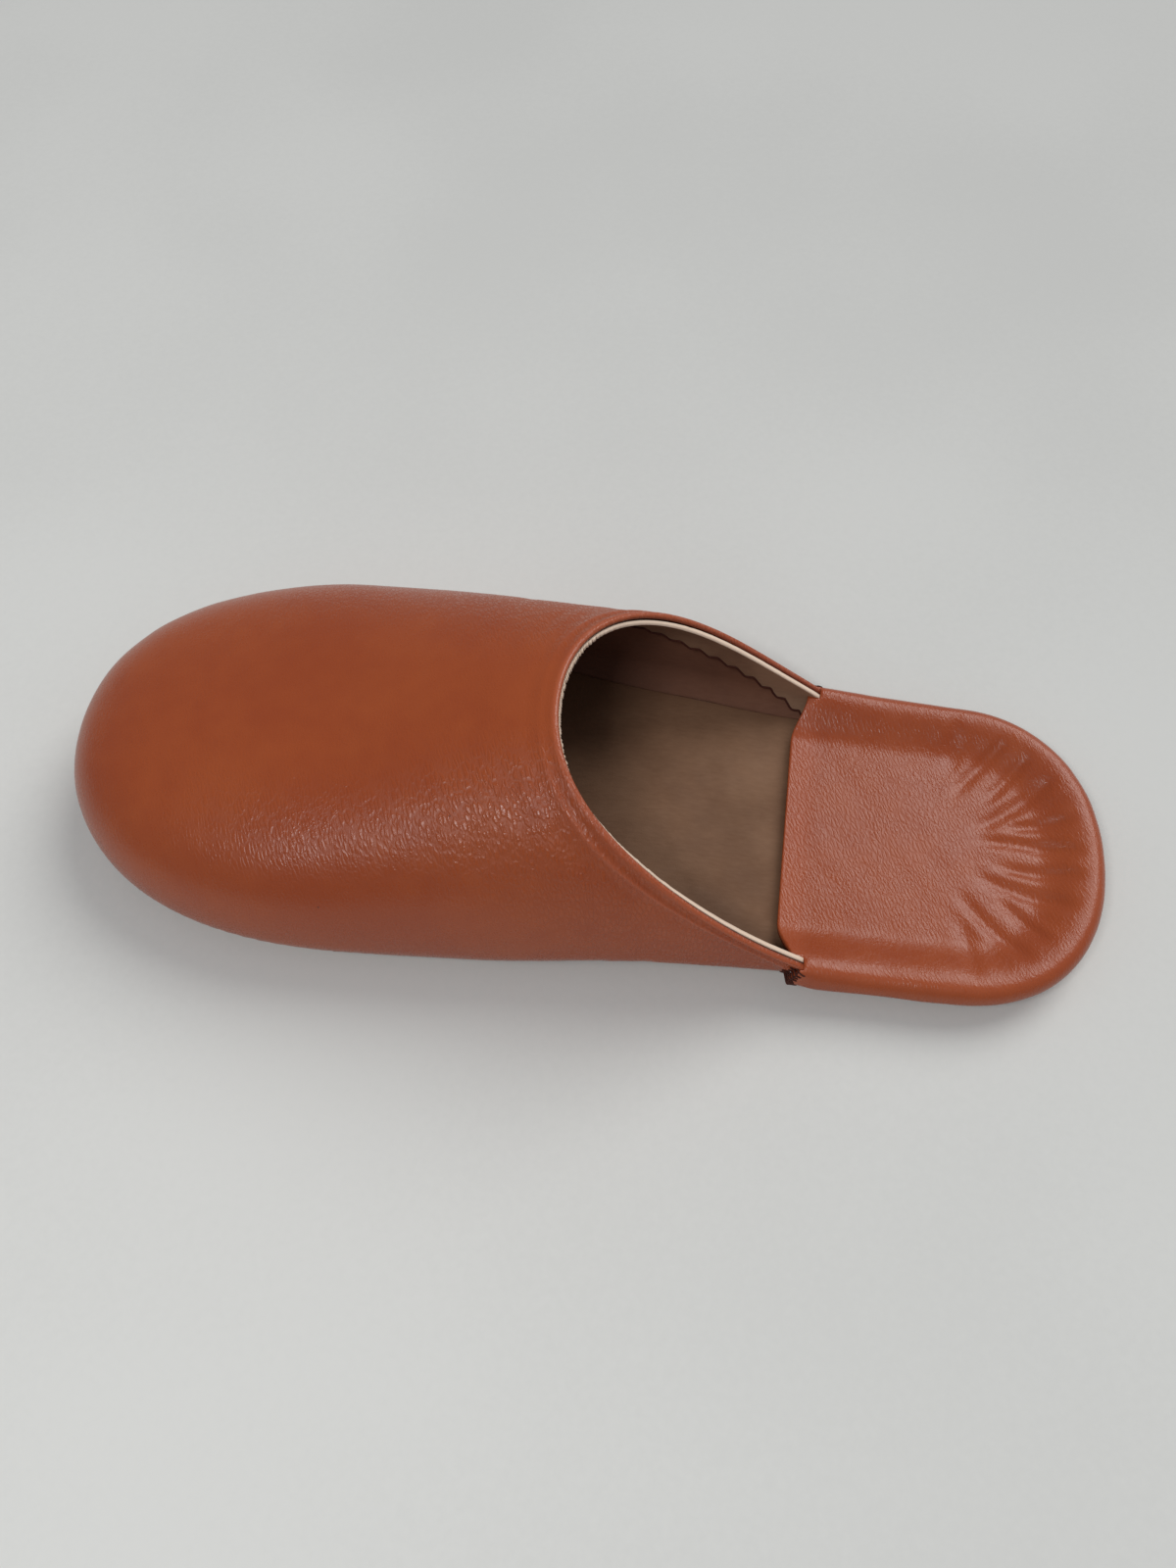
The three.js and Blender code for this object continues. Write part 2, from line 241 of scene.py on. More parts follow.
def topline(share):
    """The topline's plan, from the throat (0) to the side seam (1)."""
    linear, cubic = TOPLINE_EASE
    part = linear * share + cubic * share**3
    at = THROAT_AT + (SEAM_AT - THROAT_AT) * part**TOPLINE_POWER
    turn = np.radians(part * TOPLINE_END)
    return at, side_at(at) * np.sin(turn) ** (2 / power_at(at))


def round_end(turn, depth, half):
    """A quarter of a superellipse, from its end on the long axis to its side."""
    power = 2 / OUTLINE_POWER
    along = depth * np.clip(np.cos(turn), 0, None) ** power
    return along, half * np.clip(np.sin(turn), 0, None) ** power


def outline(share, toe_depth, half_at, end_at):
    """An outline's plan from the toe tip (0) round the ball and back to end_at (1)."""
    turn = np.minimum(share / BALL_SHARE, 1) * math.pi / 2
    along, across = round_end(turn, toe_depth, half_at(BALL_AT))
    back = np.clip((share - BALL_SHARE) / (1 - BALL_SHARE), 0, 1)
    at = np.where(share < BALL_SHARE, BALL_AT - along, BALL_AT + (end_at - BALL_AT) * back)
    return at, np.where(share < BALL_SHARE, across, half_at(at))


DOME_SAMPLES = 320
TUCK_SAMPLES = 60
MARGIN_SAMPLES = 16
LASTING_MARGIN = 5.0  # how far the upper's lower edge goes in between sole and insole


def upper_columns(shares):
    """Columns of the upper's outer surface, each from its lower edge up to the topline.

    shares run from -1 (right side seam) through 0 (toe) to 1 (left side seam).
    """
    hand = np.where(shares < 0, -1, 1)[:, None]
    part = np.abs(shares)
    top_at, top_across = (x[:, None] for x in topline(part))
    wide = outline(part, BALL_AT, side_at, SEAM_AT)
    wide_at, wide_across = (x[:, None] for x in wide)
    depth = BALL_AT - SOLE_TOE_INSET - margin_at(0)
    low = outline(part, depth, lambda at: sole_at(at) - margin_at(at), SEAM_AT)
    low_at, low_across = (x[:, None] for x in low)

    s = np.sin(np.linspace(math.pi / 2, 0, DOME_SAMPLES))[None, :]
    at = top_at + (wide_at - top_at) * s
    across = top_across + (wide_across - top_across) * s
    dome = place(at, hand * across, last_height(at, across))

    angle = np.linspace(TUCK_TURN, 0, TUCK_SAMPLES, endpoint=False)[None, :]
    inward = (1 - np.cos(angle)) / (1 - math.cos(TUCK_TURN))
    down = np.sin(angle) / math.sin(TUCK_TURN)
    at = wide_at + (low_at - wide_at) * inward
    across = wide_across + (low_across - wide_across) * inward
    widest = widest_at(wide_at)
    feather = SOLE_THICK + GAP * 0.2
    height = widest + (feather - widest) * down
    tuck = place(at, hand * across, height)

    inside_at, inside_across = low_at - wide_at, low_across - wide_across
    size = np.hypot(inside_at, inside_across)
    under = np.linspace(LASTING_MARGIN, 0, MARGIN_SAMPLES, endpoint=False)[None, :]
    at = low_at + inside_at / size * under
    across = low_across + inside_across / size * under
    margin = place(at, hand * across, np.full_like(at, feather))
    return np.concatenate([margin, tuck, dome], axis=1)


def travelled(path):
    """The distance along a path to each of its points."""
    steps = np.linalg.norm(np.diff(path, axis=0), axis=1)
    return np.concatenate([[0], np.cumsum(steps)])


def from_top(columns):
    """Each point's distance along its column from the column's top."""
    steps = np.linalg.norm(np.diff(columns, axis=1), axis=2)
    rising = np.cumsum(steps[:, ::-1], axis=1)[:, ::-1]
    return np.concatenate([rising, np.zeros((len(columns), 1))], axis=1)


def resample(columns, distances):
    """The columns' points at the given distances from their tops."""
    along = from_top(columns)[:, ::-1]
    turned = columns[:, ::-1]
    out = np.empty(distances.shape + (3,))
    for i, wanted in enumerate(distances):
        for axis in range(3):
            out[i, :, axis] = np.interp(wanted, along[i], turned[i, :, axis])
    return out


def grid_normals(grid):
    """Outward normals of a grid whose first index goes round and second goes up."""
    around = np.gradient(grid, axis=0)
    up = np.gradient(grid, axis=1)
    normal = np.cross(around, up)
    return normal / np.maximum(np.linalg.norm(normal, axis=2, keepdims=True), 1e-9)


def unit(vectors):
    return vectors / np.maximum(np.linalg.norm(vectors, axis=-1, keepdims=True), 1e-9)


def hump(x, middle, width):
    """1 at the middle, fading to 0 a few widths away."""
    return np.exp(-(((x - middle) / width) ** 2))


def ease(x, low, high):
    """0 below low and 1 above high, with a soft step between."""
    t = np.clip((x - low) / (high - low), 0, 1)
    return t * t * (3 - 2 * t)


def soft_creases(at, across, creases):
    """The inward depth of the listed creases at points of the plan."""
    depth = np.zeros(np.broadcast(at, across).shape)
    for crease in rows_of(CREASE_COLUMNS, creases):
        turn = math.radians(crease["turn"])
        x, y = at - crease["at"], across - crease["across"]
        bend = crease["length"] * 0.12
        along = x * math.cos(turn) + y * math.sin(turn)
        off = -x * math.sin(turn) + y * math.cos(turn)
        share = along / (crease["length"] / 2)
        off = off - bend * share**2
        taper = ease(1 - np.abs(share), 0, 0.7)
        depth = depth + crease["depth"] * taper * hump(off, 0, crease["width"] / 2)
    return depth


def gathered(at, across):
    """The depth of the quarter's gathers at points of the plan, below 0 on their sides."""
    back, side = at - HEEL_CENTRE, across
    reach = np.hypot(back, side)
    depth = np.zeros(reach.shape)
    for gather in rows_of(GATHER_COLUMNS, GATHERS):
        turn = math.radians(gather["angle"])
        along = back * math.cos(turn) + side * math.sin(turn)
        off = -back * math.sin(turn) + side * math.cos(turn)
        off = off - gather["bend"] * np.sin(along / 9)
        taper = ease(along, gather["reach"], gather["reach"] + 9) * (1 - ease(reach, 33, 38))
        width = gather["width"]
        trough = hump(off, 0, width)
        sides = hump(off, 1.9 * width, width) + hump(off, -1.9 * width, width)
        depth = depth + gather["depth"] * taper * (trough - 0.4 * sides)
    return depth


def waves(x, y, size, seed):
    """A slow, seeded unevenness from -1 to 1 over a few times its size."""
    draw = np.random.default_rng(seed)
    total = np.zeros(np.broadcast(x, y).shape)
    count = 7
    for turn, phase, pace in zip(
        draw.uniform(0, 2 * math.pi, count),
        draw.uniform(0, 2 * math.pi, count),
        draw.uniform(0.7, 1.5, count),
    ):
        total = total + np.sin(
            2 * math.pi * pace * (x * math.cos(turn) + y * math.sin(turn)) / size + phase
        )
    return total / count


# --- Meshes -----------------------------------------------------------------------------


def sheet_mesh(name, grid, holes=None, attributes=None, joined=False):
    """A mesh made from a flat grid whose vertices are moved to the points of an array.

    The array's first index goes round the shoe and its second up or inward. holes marks
    the faces that are cut out, attributes are arrays of one value a point, and joined
    closes the places where two edges of the sheet meet.
    """
    columns, rows = grid.shape[0] - 1, grid.shape[1] - 1
    bm = bmesh.new()
    bmesh.ops.create_grid(bm, x_segments=columns, y_segments=rows, size=0.5)
    layers = {key: bm.verts.layers.float.new(key) for key in (attributes or {})}
    cells = {
        vert: (round((vert.co.x + 0.5) * columns), round((vert.co.y + 0.5) * rows))
        for vert in bm.verts
    }
    cut = [
        face
        for face in bm.faces
        if holes is not None
        and holes[min(cells[v][0] for v in face.verts), min(cells[v][1] for v in face.verts)]
    ]
    for vert, cell in cells.items():
        vert.co = grid[cell] * MM
        for key, layer in layers.items():
            vert[layer] = float(attributes[key][cell])
    if cut:
        bmesh.ops.delete(bm, geom=cut, context="FACES")
    if joined:
        bmesh.ops.remove_doubles(bm, verts=bm.verts, dist=0.02 * MM)
        bmesh.ops.dissolve_degenerate(bm, edges=bm.edges, dist=0.005 * MM)
    for face in bm.faces:
        face.smooth = True
    mesh = bpy.data.meshes.new(name)
    bm.to_mesh(mesh)
    bm.free()
    return mesh


def thread_mesh(name, paths, radius):
    """One mesh of round threads along paths, which are arrays of points."""
    curve = bpy.data.curves.new(name + "_line", "CURVE")
    curve.dimensions = "3D"
    curve.bevel_depth = radius * MM
    curve.bevel_resolution = 2
    curve.use_fill_caps = True
    for path in paths:
        spline = curve.splines.new("POLY")
        spline.points.add(len(path) - 1)
        lengthened = np.concatenate([path * MM, np.ones((len(path), 1))], axis=1)
        spline.points.foreach_set("co", lengthened.ravel())
    holder = bpy.data.objects.new(name + "_line", curve)
    bpy.context.scene.collection.objects.link(holder)
    bpy.context.view_layer.update()
    settled = holder.evaluated_get(bpy.context.evaluated_depsgraph_get())
    mesh = bpy.data.meshes.new_from_object(settled)
    mesh.name = name
    bpy.data.objects.remove(holder)
    bpy.data.curves.remove(curve)
    for polygon in mesh.polygons:
        polygon.use_smooth = True
    return mesh


def add_piece(name, mesh, material, stands_for=(), thick=0.0):
    """Puts a finished mesh in the scene as a piece of the slipper."""
    if not mesh.polygons:
        raise RuntimeError(f"{name} has no faces")
    piece = bpy.data.objects.new(name, mesh)
    bpy.context.scene.collection.objects.link(piece)
    mesh.materials.clear()
    mesh.materials.append(material)
    if thick:
        wall = piece.modifiers.new("Thickness", "SOLIDIFY")
        wall.thickness = thick * MM
        wall.offset = -1
        wall.use_rim = True
    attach(piece, "root")
    if stands_for:
        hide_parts(*stands_for)
    return piece


# --- Materials --------------------------------------------------------------------------

# The dyed leather's grain, in millimetres: pebbles, and slanted strokes where it flexes.
FLEX = 0.3
SWAY_SIZE = 2.4
PEBBLE_SIZE = (0.75, 1.05, 0.95)
STROKE_SIZE = (0.85, 2.9, 2.2)
STROKE_SLANT = math.radians(-24)
PORE_PITCH = 9.0


def linear(*levels):
    """A colour given in display levels of 0 to 255, as the shader wants it."""
    shares = [level / 255 for level in levels]
    return tuple(s / 12.92 if s <= 0.04045 else ((s + 0.055) / 1.055) ** 2.4 for s in shares)


def node(tree, kind, inputs=None, **settings):
    """A shader node with its settings, and its inputs set or linked by name or number."""
    made = tree.nodes.new(kind)
    for key, value in settings.items():
        setattr(made, key, value)
    for key, value in (inputs or {}).items():
        if isinstance(value, bpy.types.NodeSocket):
            tree.links.new(value, made.inputs[key])
        else:
            made.inputs[key].default_value = value
    return made


def math_node(tree, operation, *values):
    made = node(tree, "ShaderNodeMath", dict(enumerate(values)), operation=operation)
    return made.outputs[0]


def plus(tree, *values):
    return math_node(tree, "ADD", *values)


def times(tree, *values):
    return math_node(tree, "MULTIPLY", *values)


def vectors(tree, operation, first, second):
    made = node(tree, "ShaderNodeVectorMath", {0: first, 1: second}, operation=operation)
    return made.outputs[0]


def ranged(tree, value, low, high, to_low=0.0, to_high=1.0, soft=True):
    """value from low to high becomes to_low to to_high."""
    made = node(
        tree,
        "ShaderNodeMapRange",
        {"Value": value, 1: low, 2: high, 3: to_low, 4: to_high},
        interpolation_type="SMOOTHSTEP" if soft else "LINEAR",
    )
    return made.outputs[0]


def mixed(tree, share, first, second):
    """A colour between two others, given as colours or sockets."""
    sources = {0: share}
    for index, value in ((6, first), (7, second)):
        linked = isinstance(value, bpy.types.NodeSocket)
        sources[index] = value if linked else (*value[:3], 1)
    return node(tree, "ShaderNodeMix", sources, data_type="RGBA").outputs[2]


def scaled(tree, vector, size):
    """The vector in steps of size millimetres, which may be one number or three."""
    sizes = size if isinstance(size, tuple) else (size,) * 3
    return vectors(tree, "MULTIPLY", vector, tuple(1 / (one * MM) for one in sizes))


def noise(tree, vector, size, detail=2.0, roughness=0.5, seed=0.0):
    """Soft noise whose features are about size millimetres."""
    sources = {"Vector": scaled(tree, vector, size), "W": seed, "Scale": 1.0}
    sources |= {"Detail": detail, "Roughness": roughness}
    return node(tree, "ShaderNodeTexNoise", sources, noise_dimensions="4D").outputs[0]


def edges_of_cells(tree, vector, randomness):
    """The distance from the edges of a pattern of cells one step apart."""
    sources = {"Vector": vector, "Scale": 1.0, "Randomness": randomness}
    return node(
        tree, "ShaderNodeTexVoronoi", sources, feature="DISTANCE_TO_EDGE"
    ).outputs[0]


def group_of(name, inputs, outputs):
    """A new shader node group with its sockets, its input node and its output node."""
    tree = bpy.data.node_groups.new(name, "ShaderNodeTree")
    for key, kind, default in inputs:
        socket = tree.interface.new_socket(key, in_out="INPUT", socket_type=kind)
        if default is not None:
            socket.default_value = default
    for key in outputs:
        tree.interface.new_socket(key, in_out="OUTPUT", socket_type="NodeSocketFloat")
    entry = tree.nodes.new("NodeGroupInput")
    leave = tree.nodes.new("NodeGroupOutput")
    return tree, entry.outputs, leave.inputs


def leather_grain_group():
    """Fine pebbled grain, flex wrinkles, pores and the dye's slow clouding."""
    name = "Leather Grain"
    if name in bpy.data.node_groups:
        return bpy.data.node_groups[name]
    tree, given, out = group_of(
        name,
        (("Vector", "NodeSocketVector", None), ("Flex", "NodeSocketFloat", FLEX)),
        ("Height", "Cloud", "Pores"),
    )
    vector, flex = given["Vector"], given["Flex"]
    sources = {"Vector": scaled(tree, vector, SWAY_SIZE), "Scale": 1.0, "Detail": 1.0}
    bend = node(tree, "ShaderNodeTexNoise", sources).outputs[1]
    sway = vectors(tree, "MULTIPLY", vectors(tree, "ADD", bend, (-0.5,) * 3), (1.3,) * 3)
    cells = vectors(tree, "ADD", scaled(tree, vector, PEBBLE_SIZE), sway)
    pebble = ranged(tree, edges_of_cells(tree, cells, 0.95), 0.0, 0.3)
    sources = {"Vector": vector, "Rotation": (0.0, 0.0, STROKE_SLANT)}
    slanted = node(tree, "ShaderNodeMapping", sources).outputs[0]
    small_sway = vectors(tree, "MULTIPLY", sway, (0.45,) * 3)
    cells = vectors(tree, "ADD", scaled(tree, slanted, STROKE_SIZE), small_sway)
    wrinkle = ranged(tree, edges_of_cells(tree, cells, 0.8), 0.0, 0.28)
    flat = math_node(tree, "SUBTRACT", 1.0, wrinkle)
    wrinkle = math_node(tree, "SUBTRACT", 1.0, times(tree, flat, flex))
    fine = noise(tree, vector, 0.4, detail=3.0, roughness=0.6, seed=5.7)
    low = noise(tree, vector, 7.0, seed=1.3)
    patch = ranged(tree, low, 0.35, 0.65, 0.25, 1.0)
    height = times(tree, times(tree, pebble, patch), 0.2)
    height = plus(tree, height, times(tree, wrinkle, 0.75))
    height = plus(tree, height, times(tree, fine, 0.22))
    sources = {"Vector": scaled(tree, vector, PORE_PITCH), "Scale": 1.0, "Randomness": 1.0}
    dots = node(tree, "ShaderNodeTexVoronoi", sources)
    draw = node(tree, "ShaderNodeSeparateColor", {0: dots.outputs[1]}).outputs[0]
    size = ranged(tree, draw, 0.55, 1.0, 0.0, 0.035, soft=False)
    pores = math_node(tree, "LESS_THAN", dots.outputs[0], size)
    height = math_node(tree, "SUBTRACT", height, times(tree, pores, 0.5))
    cloud = plus(
        tree,
        times(tree, noise(tree, vector, 38.0, detail=3.0, seed=8.2), 0.7),
        times(tree, noise(tree, vector, 5.0, seed=2.2), 0.3),
    )
    tree.links.new(height, out["Height"])
    tree.links.new(ranged(tree, cloud, 0.32, 0.68), out["Cloud"])
    tree.links.new(pores, out["Pores"])
    return tree


def suede_group():
    """The matt, slightly hairy face of undyed leather."""
    name = "Undyed Leather"
    if name in bpy.data.node_groups:
        return bpy.data.node_groups[name]
    inputs = (("Vector", "NodeSocketVector", None),)
    tree, given, out = group_of(name, inputs, ("Height", "Cloud"))
    vector = given["Vector"]
    nap = noise(tree, vector, 0.55, detail=4.0, roughness=0.7, seed=4.4)
    fibres = noise(tree, vector, (2.6, 0.7, 0.9), detail=3.0, roughness=0.6, seed=6.1)
    soft = noise(tree, vector, 6.0, seed=9.3)
    height = plus(tree, times(tree, nap, 0.5), times(tree, fibres, 0.35))
    height = plus(tree, height, times(tree, soft, 0.9))
    broad = noise(tree, vector, 24.0, detail=3.0, seed=7.7)
    cloud = plus(tree, times(tree, broad, 0.8), times(tree, fibres, 0.2))
    tree.links.new(height, out["Height"])
    tree.links.new(ranged(tree, cloud, 0.33, 0.67), out["Cloud"])
    return tree


def start_material(name):
    """A new material, its node tree, its shader and its object coordinates."""
    material = bpy.data.materials.new(name)
    material.use_nodes = True
    tree = material.node_tree
    shader = tree.nodes["Principled BSDF"]
    where = node(tree, "ShaderNodeTexCoord").outputs["Object"]
    return material, tree, shader, where


def bump_into(tree, shader, height, strength, distance):
    """Height, in shares of distance millimetres, as the shader's normal."""
    sources = {"Strength": strength, "Distance": distance * MM, "Height": height}
    made = node(tree, "ShaderNodeBump", sources)
    tree.links.new(made.outputs[0], shader.inputs["Normal"])


def attribute(tree, name):
    return node(tree, "ShaderNodeAttribute", attribute_name=name).outputs["Fac"]


def dyed_leather(name, colours):
    """Smooth dyed leather with a low wax shine."""
    if name in bpy.data.materials:
        return bpy.data.materials[name]
    material, tree, shader, where = start_material(name)
    group = node(tree, "ShaderNodeGroup", node_tree=leather_grain_group())
    tree.links.new(where, group.inputs["Vector"])
    tree.links.new(attribute(tree, "flex"), group.inputs["Flex"])
    height, cloud, pores = (group.outputs[key] for key in ("Height", "Cloud", "Pores"))
    colour = mixed(tree, cloud, colours.dye_deep, colours.dye)
    valley = ranged(tree, height, 0.4, 0.9, 0.07, 0.0)
    colour = mixed(tree, valley, colour, colours.dye_pore_and_shade)
    # The edge mark lightens rubbed edges and paints highlights on the upper rim's bead and
    # ridge.
    for mark, strength, marked in (
        (pores, 0.7, colours.dye_pore_and_shade),
        (attribute(tree, "edge"), 0.55, colours.dye_edge_wear_and_highlight),
        # The seam mark darkens the seam to the sole and paints shade on the upper's turned-in
        # hem.
        (attribute(tree, "seam"), 0.6, colours.dye_pore_and_shade),
    ):
        colour = mixed(tree, times(tree, mark, strength), colour, marked)
    tree.links.new(colour, shader.inputs["Base Color"])
    dull = ranged(tree, height, 0.35, 1.1, 0.42, 0.21)
    dull = plus(tree, dull, times(tree, cloud, 0.05))
    tree.links.new(dull, shader.inputs["Roughness"])
    shader.inputs["Specular IOR Level"].default_value = 0.47
    bump_into(tree, shader, height, 0.7, 0.19)
    return material


def cream_leather(name, light, deep, edge_colour, nap=1.0, roughness=0.85):
    """Undyed leather, with a lighter raw edge where the piece's edge mark is."""
    if name in bpy.data.materials:
        return bpy.data.materials[name]
    material, tree, shader, where = start_material(name)
    group = node(tree, "ShaderNodeGroup", node_tree=suede_group())
    tree.links.new(where, group.inputs["Vector"])
    height, cloud = group.outputs["Height"], group.outputs["Cloud"]
    colour = mixed(tree, cloud, deep, light)
    # Darker where marked: wear on the insole and outsole, a band along the insole's edge, and
    # painted shade further down the lining.
    wear_and_shade = attribute(tree, "wear_and_shade")
    colour = mixed(tree, times(tree, wear_and_shade, 0.6), colour, deep)
    colour = mixed(tree, attribute(tree, "edge"), colour, edge_colour)
    tree.links.new(colour, shader.inputs["Base Color"])
    dull = ranged(tree, height, 0.5, 1.2, roughness + 0.06, roughness - 0.08)
    tree.links.new(dull, shader.inputs["Roughness"])
    shader.inputs["Specular IOR Level"].default_value = 0.3
    bump_into(tree, shader, height, 0.45 * nap, 0.3)
    return material


def waxed_thread(name, colours):
    """Dark waxed thread with the twist of its plies."""
    if name in bpy.data.materials:
        return bpy.data.materials[name]
    material, tree, shader, where = start_material(name)
    sources = {"Vector": scaled(tree, where, 0.42), "Scale": 1.0}
    sources |= {"Distortion": 0.8, "Detail": 1.0}
    wave = node(tree, "ShaderNodeTexWave", sources, bands_direction="DIAGONAL")
    plies = wave.outputs[1]
    fuzz = noise(tree, where, 0.3, seed=2.9)
    share = times(tree, plies, fuzz)
    # The plies' lighter bands are a painted highlight on the twist.
    colour = mixed(tree, share, colours.thread, colours.thread_ply_highlight)
    tree.links.new(colour, shader.inputs["Base Color"])
    tree.links.new(ranged(tree, fuzz, 0.3, 0.7, 0.55, 0.8), shader.inputs["Roughness"])
    shader.inputs["Specular IOR Level"].default_value = 0.25
    bump_into(tree, shader, plies, 0.6, 0.12)
    return material


# --- Settings ---------------------------------------------------------------------------


def length(name, description, millimetres):
    return FloatProperty(
        name=name, description=description, default=millimetres * MM, min=0, unit="LENGTH"
    )


def angle(name, description, degrees):
    return FloatProperty(
        name=name, description=description, default=math.radians(degrees), subtype="ANGLE"
    )


def colour(name, description, *levels):
    return FloatVectorProperty(
        name=name, description=description, default=linear(*levels), subtype="COLOR"
    )


class SlipperSizes(bpy.types.PropertyGroup):
    """Sizes of the leather, its edges and its stitches."""

    leather: length("Leather", "Thickness of the outer leather", 0.6)
    rim_radius: length("Rim Radius", "Radius of the turned edge along the topline", 0.75)
    hem: length("Hem", "How far the turned edge goes down inside", 1.6)
    facing_width: length("Facing Width", "Width of the facing inside the topline", 12.0)
    facing_spread: length("Facing Spread", "How much wider it is round the throat", 4.0)
    facing: length("Facing", "Thickness of the facing", 1.05)
    lining: length("Lining", "Thickness of the lining", 0.5)
    stitch_pitch: length("Stitch Pitch", "Length of one wave of the zigzag", 5.6)
    stitch_width: length("Stitch Width", "Width of the zigzag", 2.2)
    thread: length("Thread", "Radius of the thread", 0.27)
    pucker_pitch: length("Pucker Pitch", "Distance between puckers at the toe seam", 3.4)
    pucker_depth: length("Pucker Depth", "Depth of the puckers", 0.5)
    quarter: length("Quarter", "Thickness of the folded quarter's leather", 1.5)
    creasing: FloatProperty(
        name="Creasing",
        description="How strongly the hand-placed creases show",
        default=1.0,
        min=0,
        max=2,
    )
    columns: IntProperty(
        name="Columns", description="Steps of the upper's mesh round the shoe", default=440
    )


class SlipperColours(bpy.types.PropertyGroup):
    """Colours of the leathers and the thread."""

    dye: colour("Dye", "The outer leather's colour", 162, 75, 32)
    dye_deep: colour("Deep Dye", "The colour of its darker clouds", 153, 67, 29)
    # The colour of pores and folds, also used as painted shade on the turned-in hem under the
    # rim.
    dye_pore_and_shade: colour("Pore and Shade", "The colour in its pores and folds", 96, 38, 22)
    # The colour of rubbed edges, also used as a painted highlight on the upper rim's bead and
    # ridge.
    dye_edge_wear_and_highlight: colour("Worn Edge and Highlight", "The colour of its rubbed edges", 190, 100, 68)
    # The cream, lining and insole colours are the leathers' own tan made darker: painted shade
    # for the inside of the shoe.
    cream: colour("Cream", "The lining's light colour", 152, 120, 96)
    cream_deep: colour("Deep Cream", "The lining's dark colour", 124, 92, 72)
    lining: colour("Lining", "Lining of the upper", 128, 88, 68)
    lining_deep: colour("Lining Deep", "Its darker clouds", 106, 70, 54)
    raw_edge: colour("Raw Edge", "The cut edge of the facing", 244, 220, 198)
    insole: colour("Insole", "The insole's light colour", 136, 102, 77)
    insole_deep: colour("Deep Insole", "The insole's dark colour", 112, 80, 58)
    sole: colour("Sole", "The outsole's light colour", 186, 140, 100)
    sole_deep: colour("Deep Sole", "The outsole's dark colour", 166, 120, 84)
    sole_edge: colour("Sole Edge", "The outsole's burnished edge", 104, 62, 40)
    thread: colour("Thread", "The thread's colour", 56, 24, 17)
    thread_ply_highlight: colour("Thread Highlight", "The thread's lit plies", 104, 50, 36)


class SlipperStage(bpy.types.PropertyGroup):
    """The camera, the lights and the floor."""

    elevation: angle("Elevation", "The camera's angle above the floor", 60.93)
    turn: angle("Turn", "Its angle from straight beside the shoe, towards the toe", 0.36)
    roll: angle("Roll", "The camera's roll about its own view", 7.53)
    distance: length("Distance", "From the camera to the point beneath its aim", 330.62)
    aim_back: length("Aim", "How far behind the shoe's middle that point is", 20.4)
    lens: FloatProperty(
        name="Lens", description="Focal length in millimetres", default=30.6, min=1
    )
    key: FloatProperty(
        name="Key", description="Strength of the large soft light", default=1.47, min=0
    )
    window: FloatProperty(
        name="Window", description="Power of the light by the toe", default=3.1, unit="POWER"
    )
    floor: colour("Floor", "The floor's colour", 222, 223, 220)


# --- Pieces -----------------------------------------------------------------------------


def settings_of(context):
    """The scene's sizes and colours of the slipper."""
    return context.scene.slipper_sizes, context.scene.slipper_colours


def plan_of(points):
    """How far points are behind the toe tip, and across."""
    return LENGTH / 2 - points[..., 0], points[..., 1]


def wings_of(shares):
    """0 in the vamp's columns and 1 in the wings'."""
    return ease(np.abs(shares), 0.25, 0.75)[:, None]


def upper_layout(columns):
    """The upper's columns with their shares and their lengths."""
    shares = np.linspace(-1, 1, columns + 1)
    dense = upper_columns(shares)
    return shares, dense, from_top(dense)[:, 0]


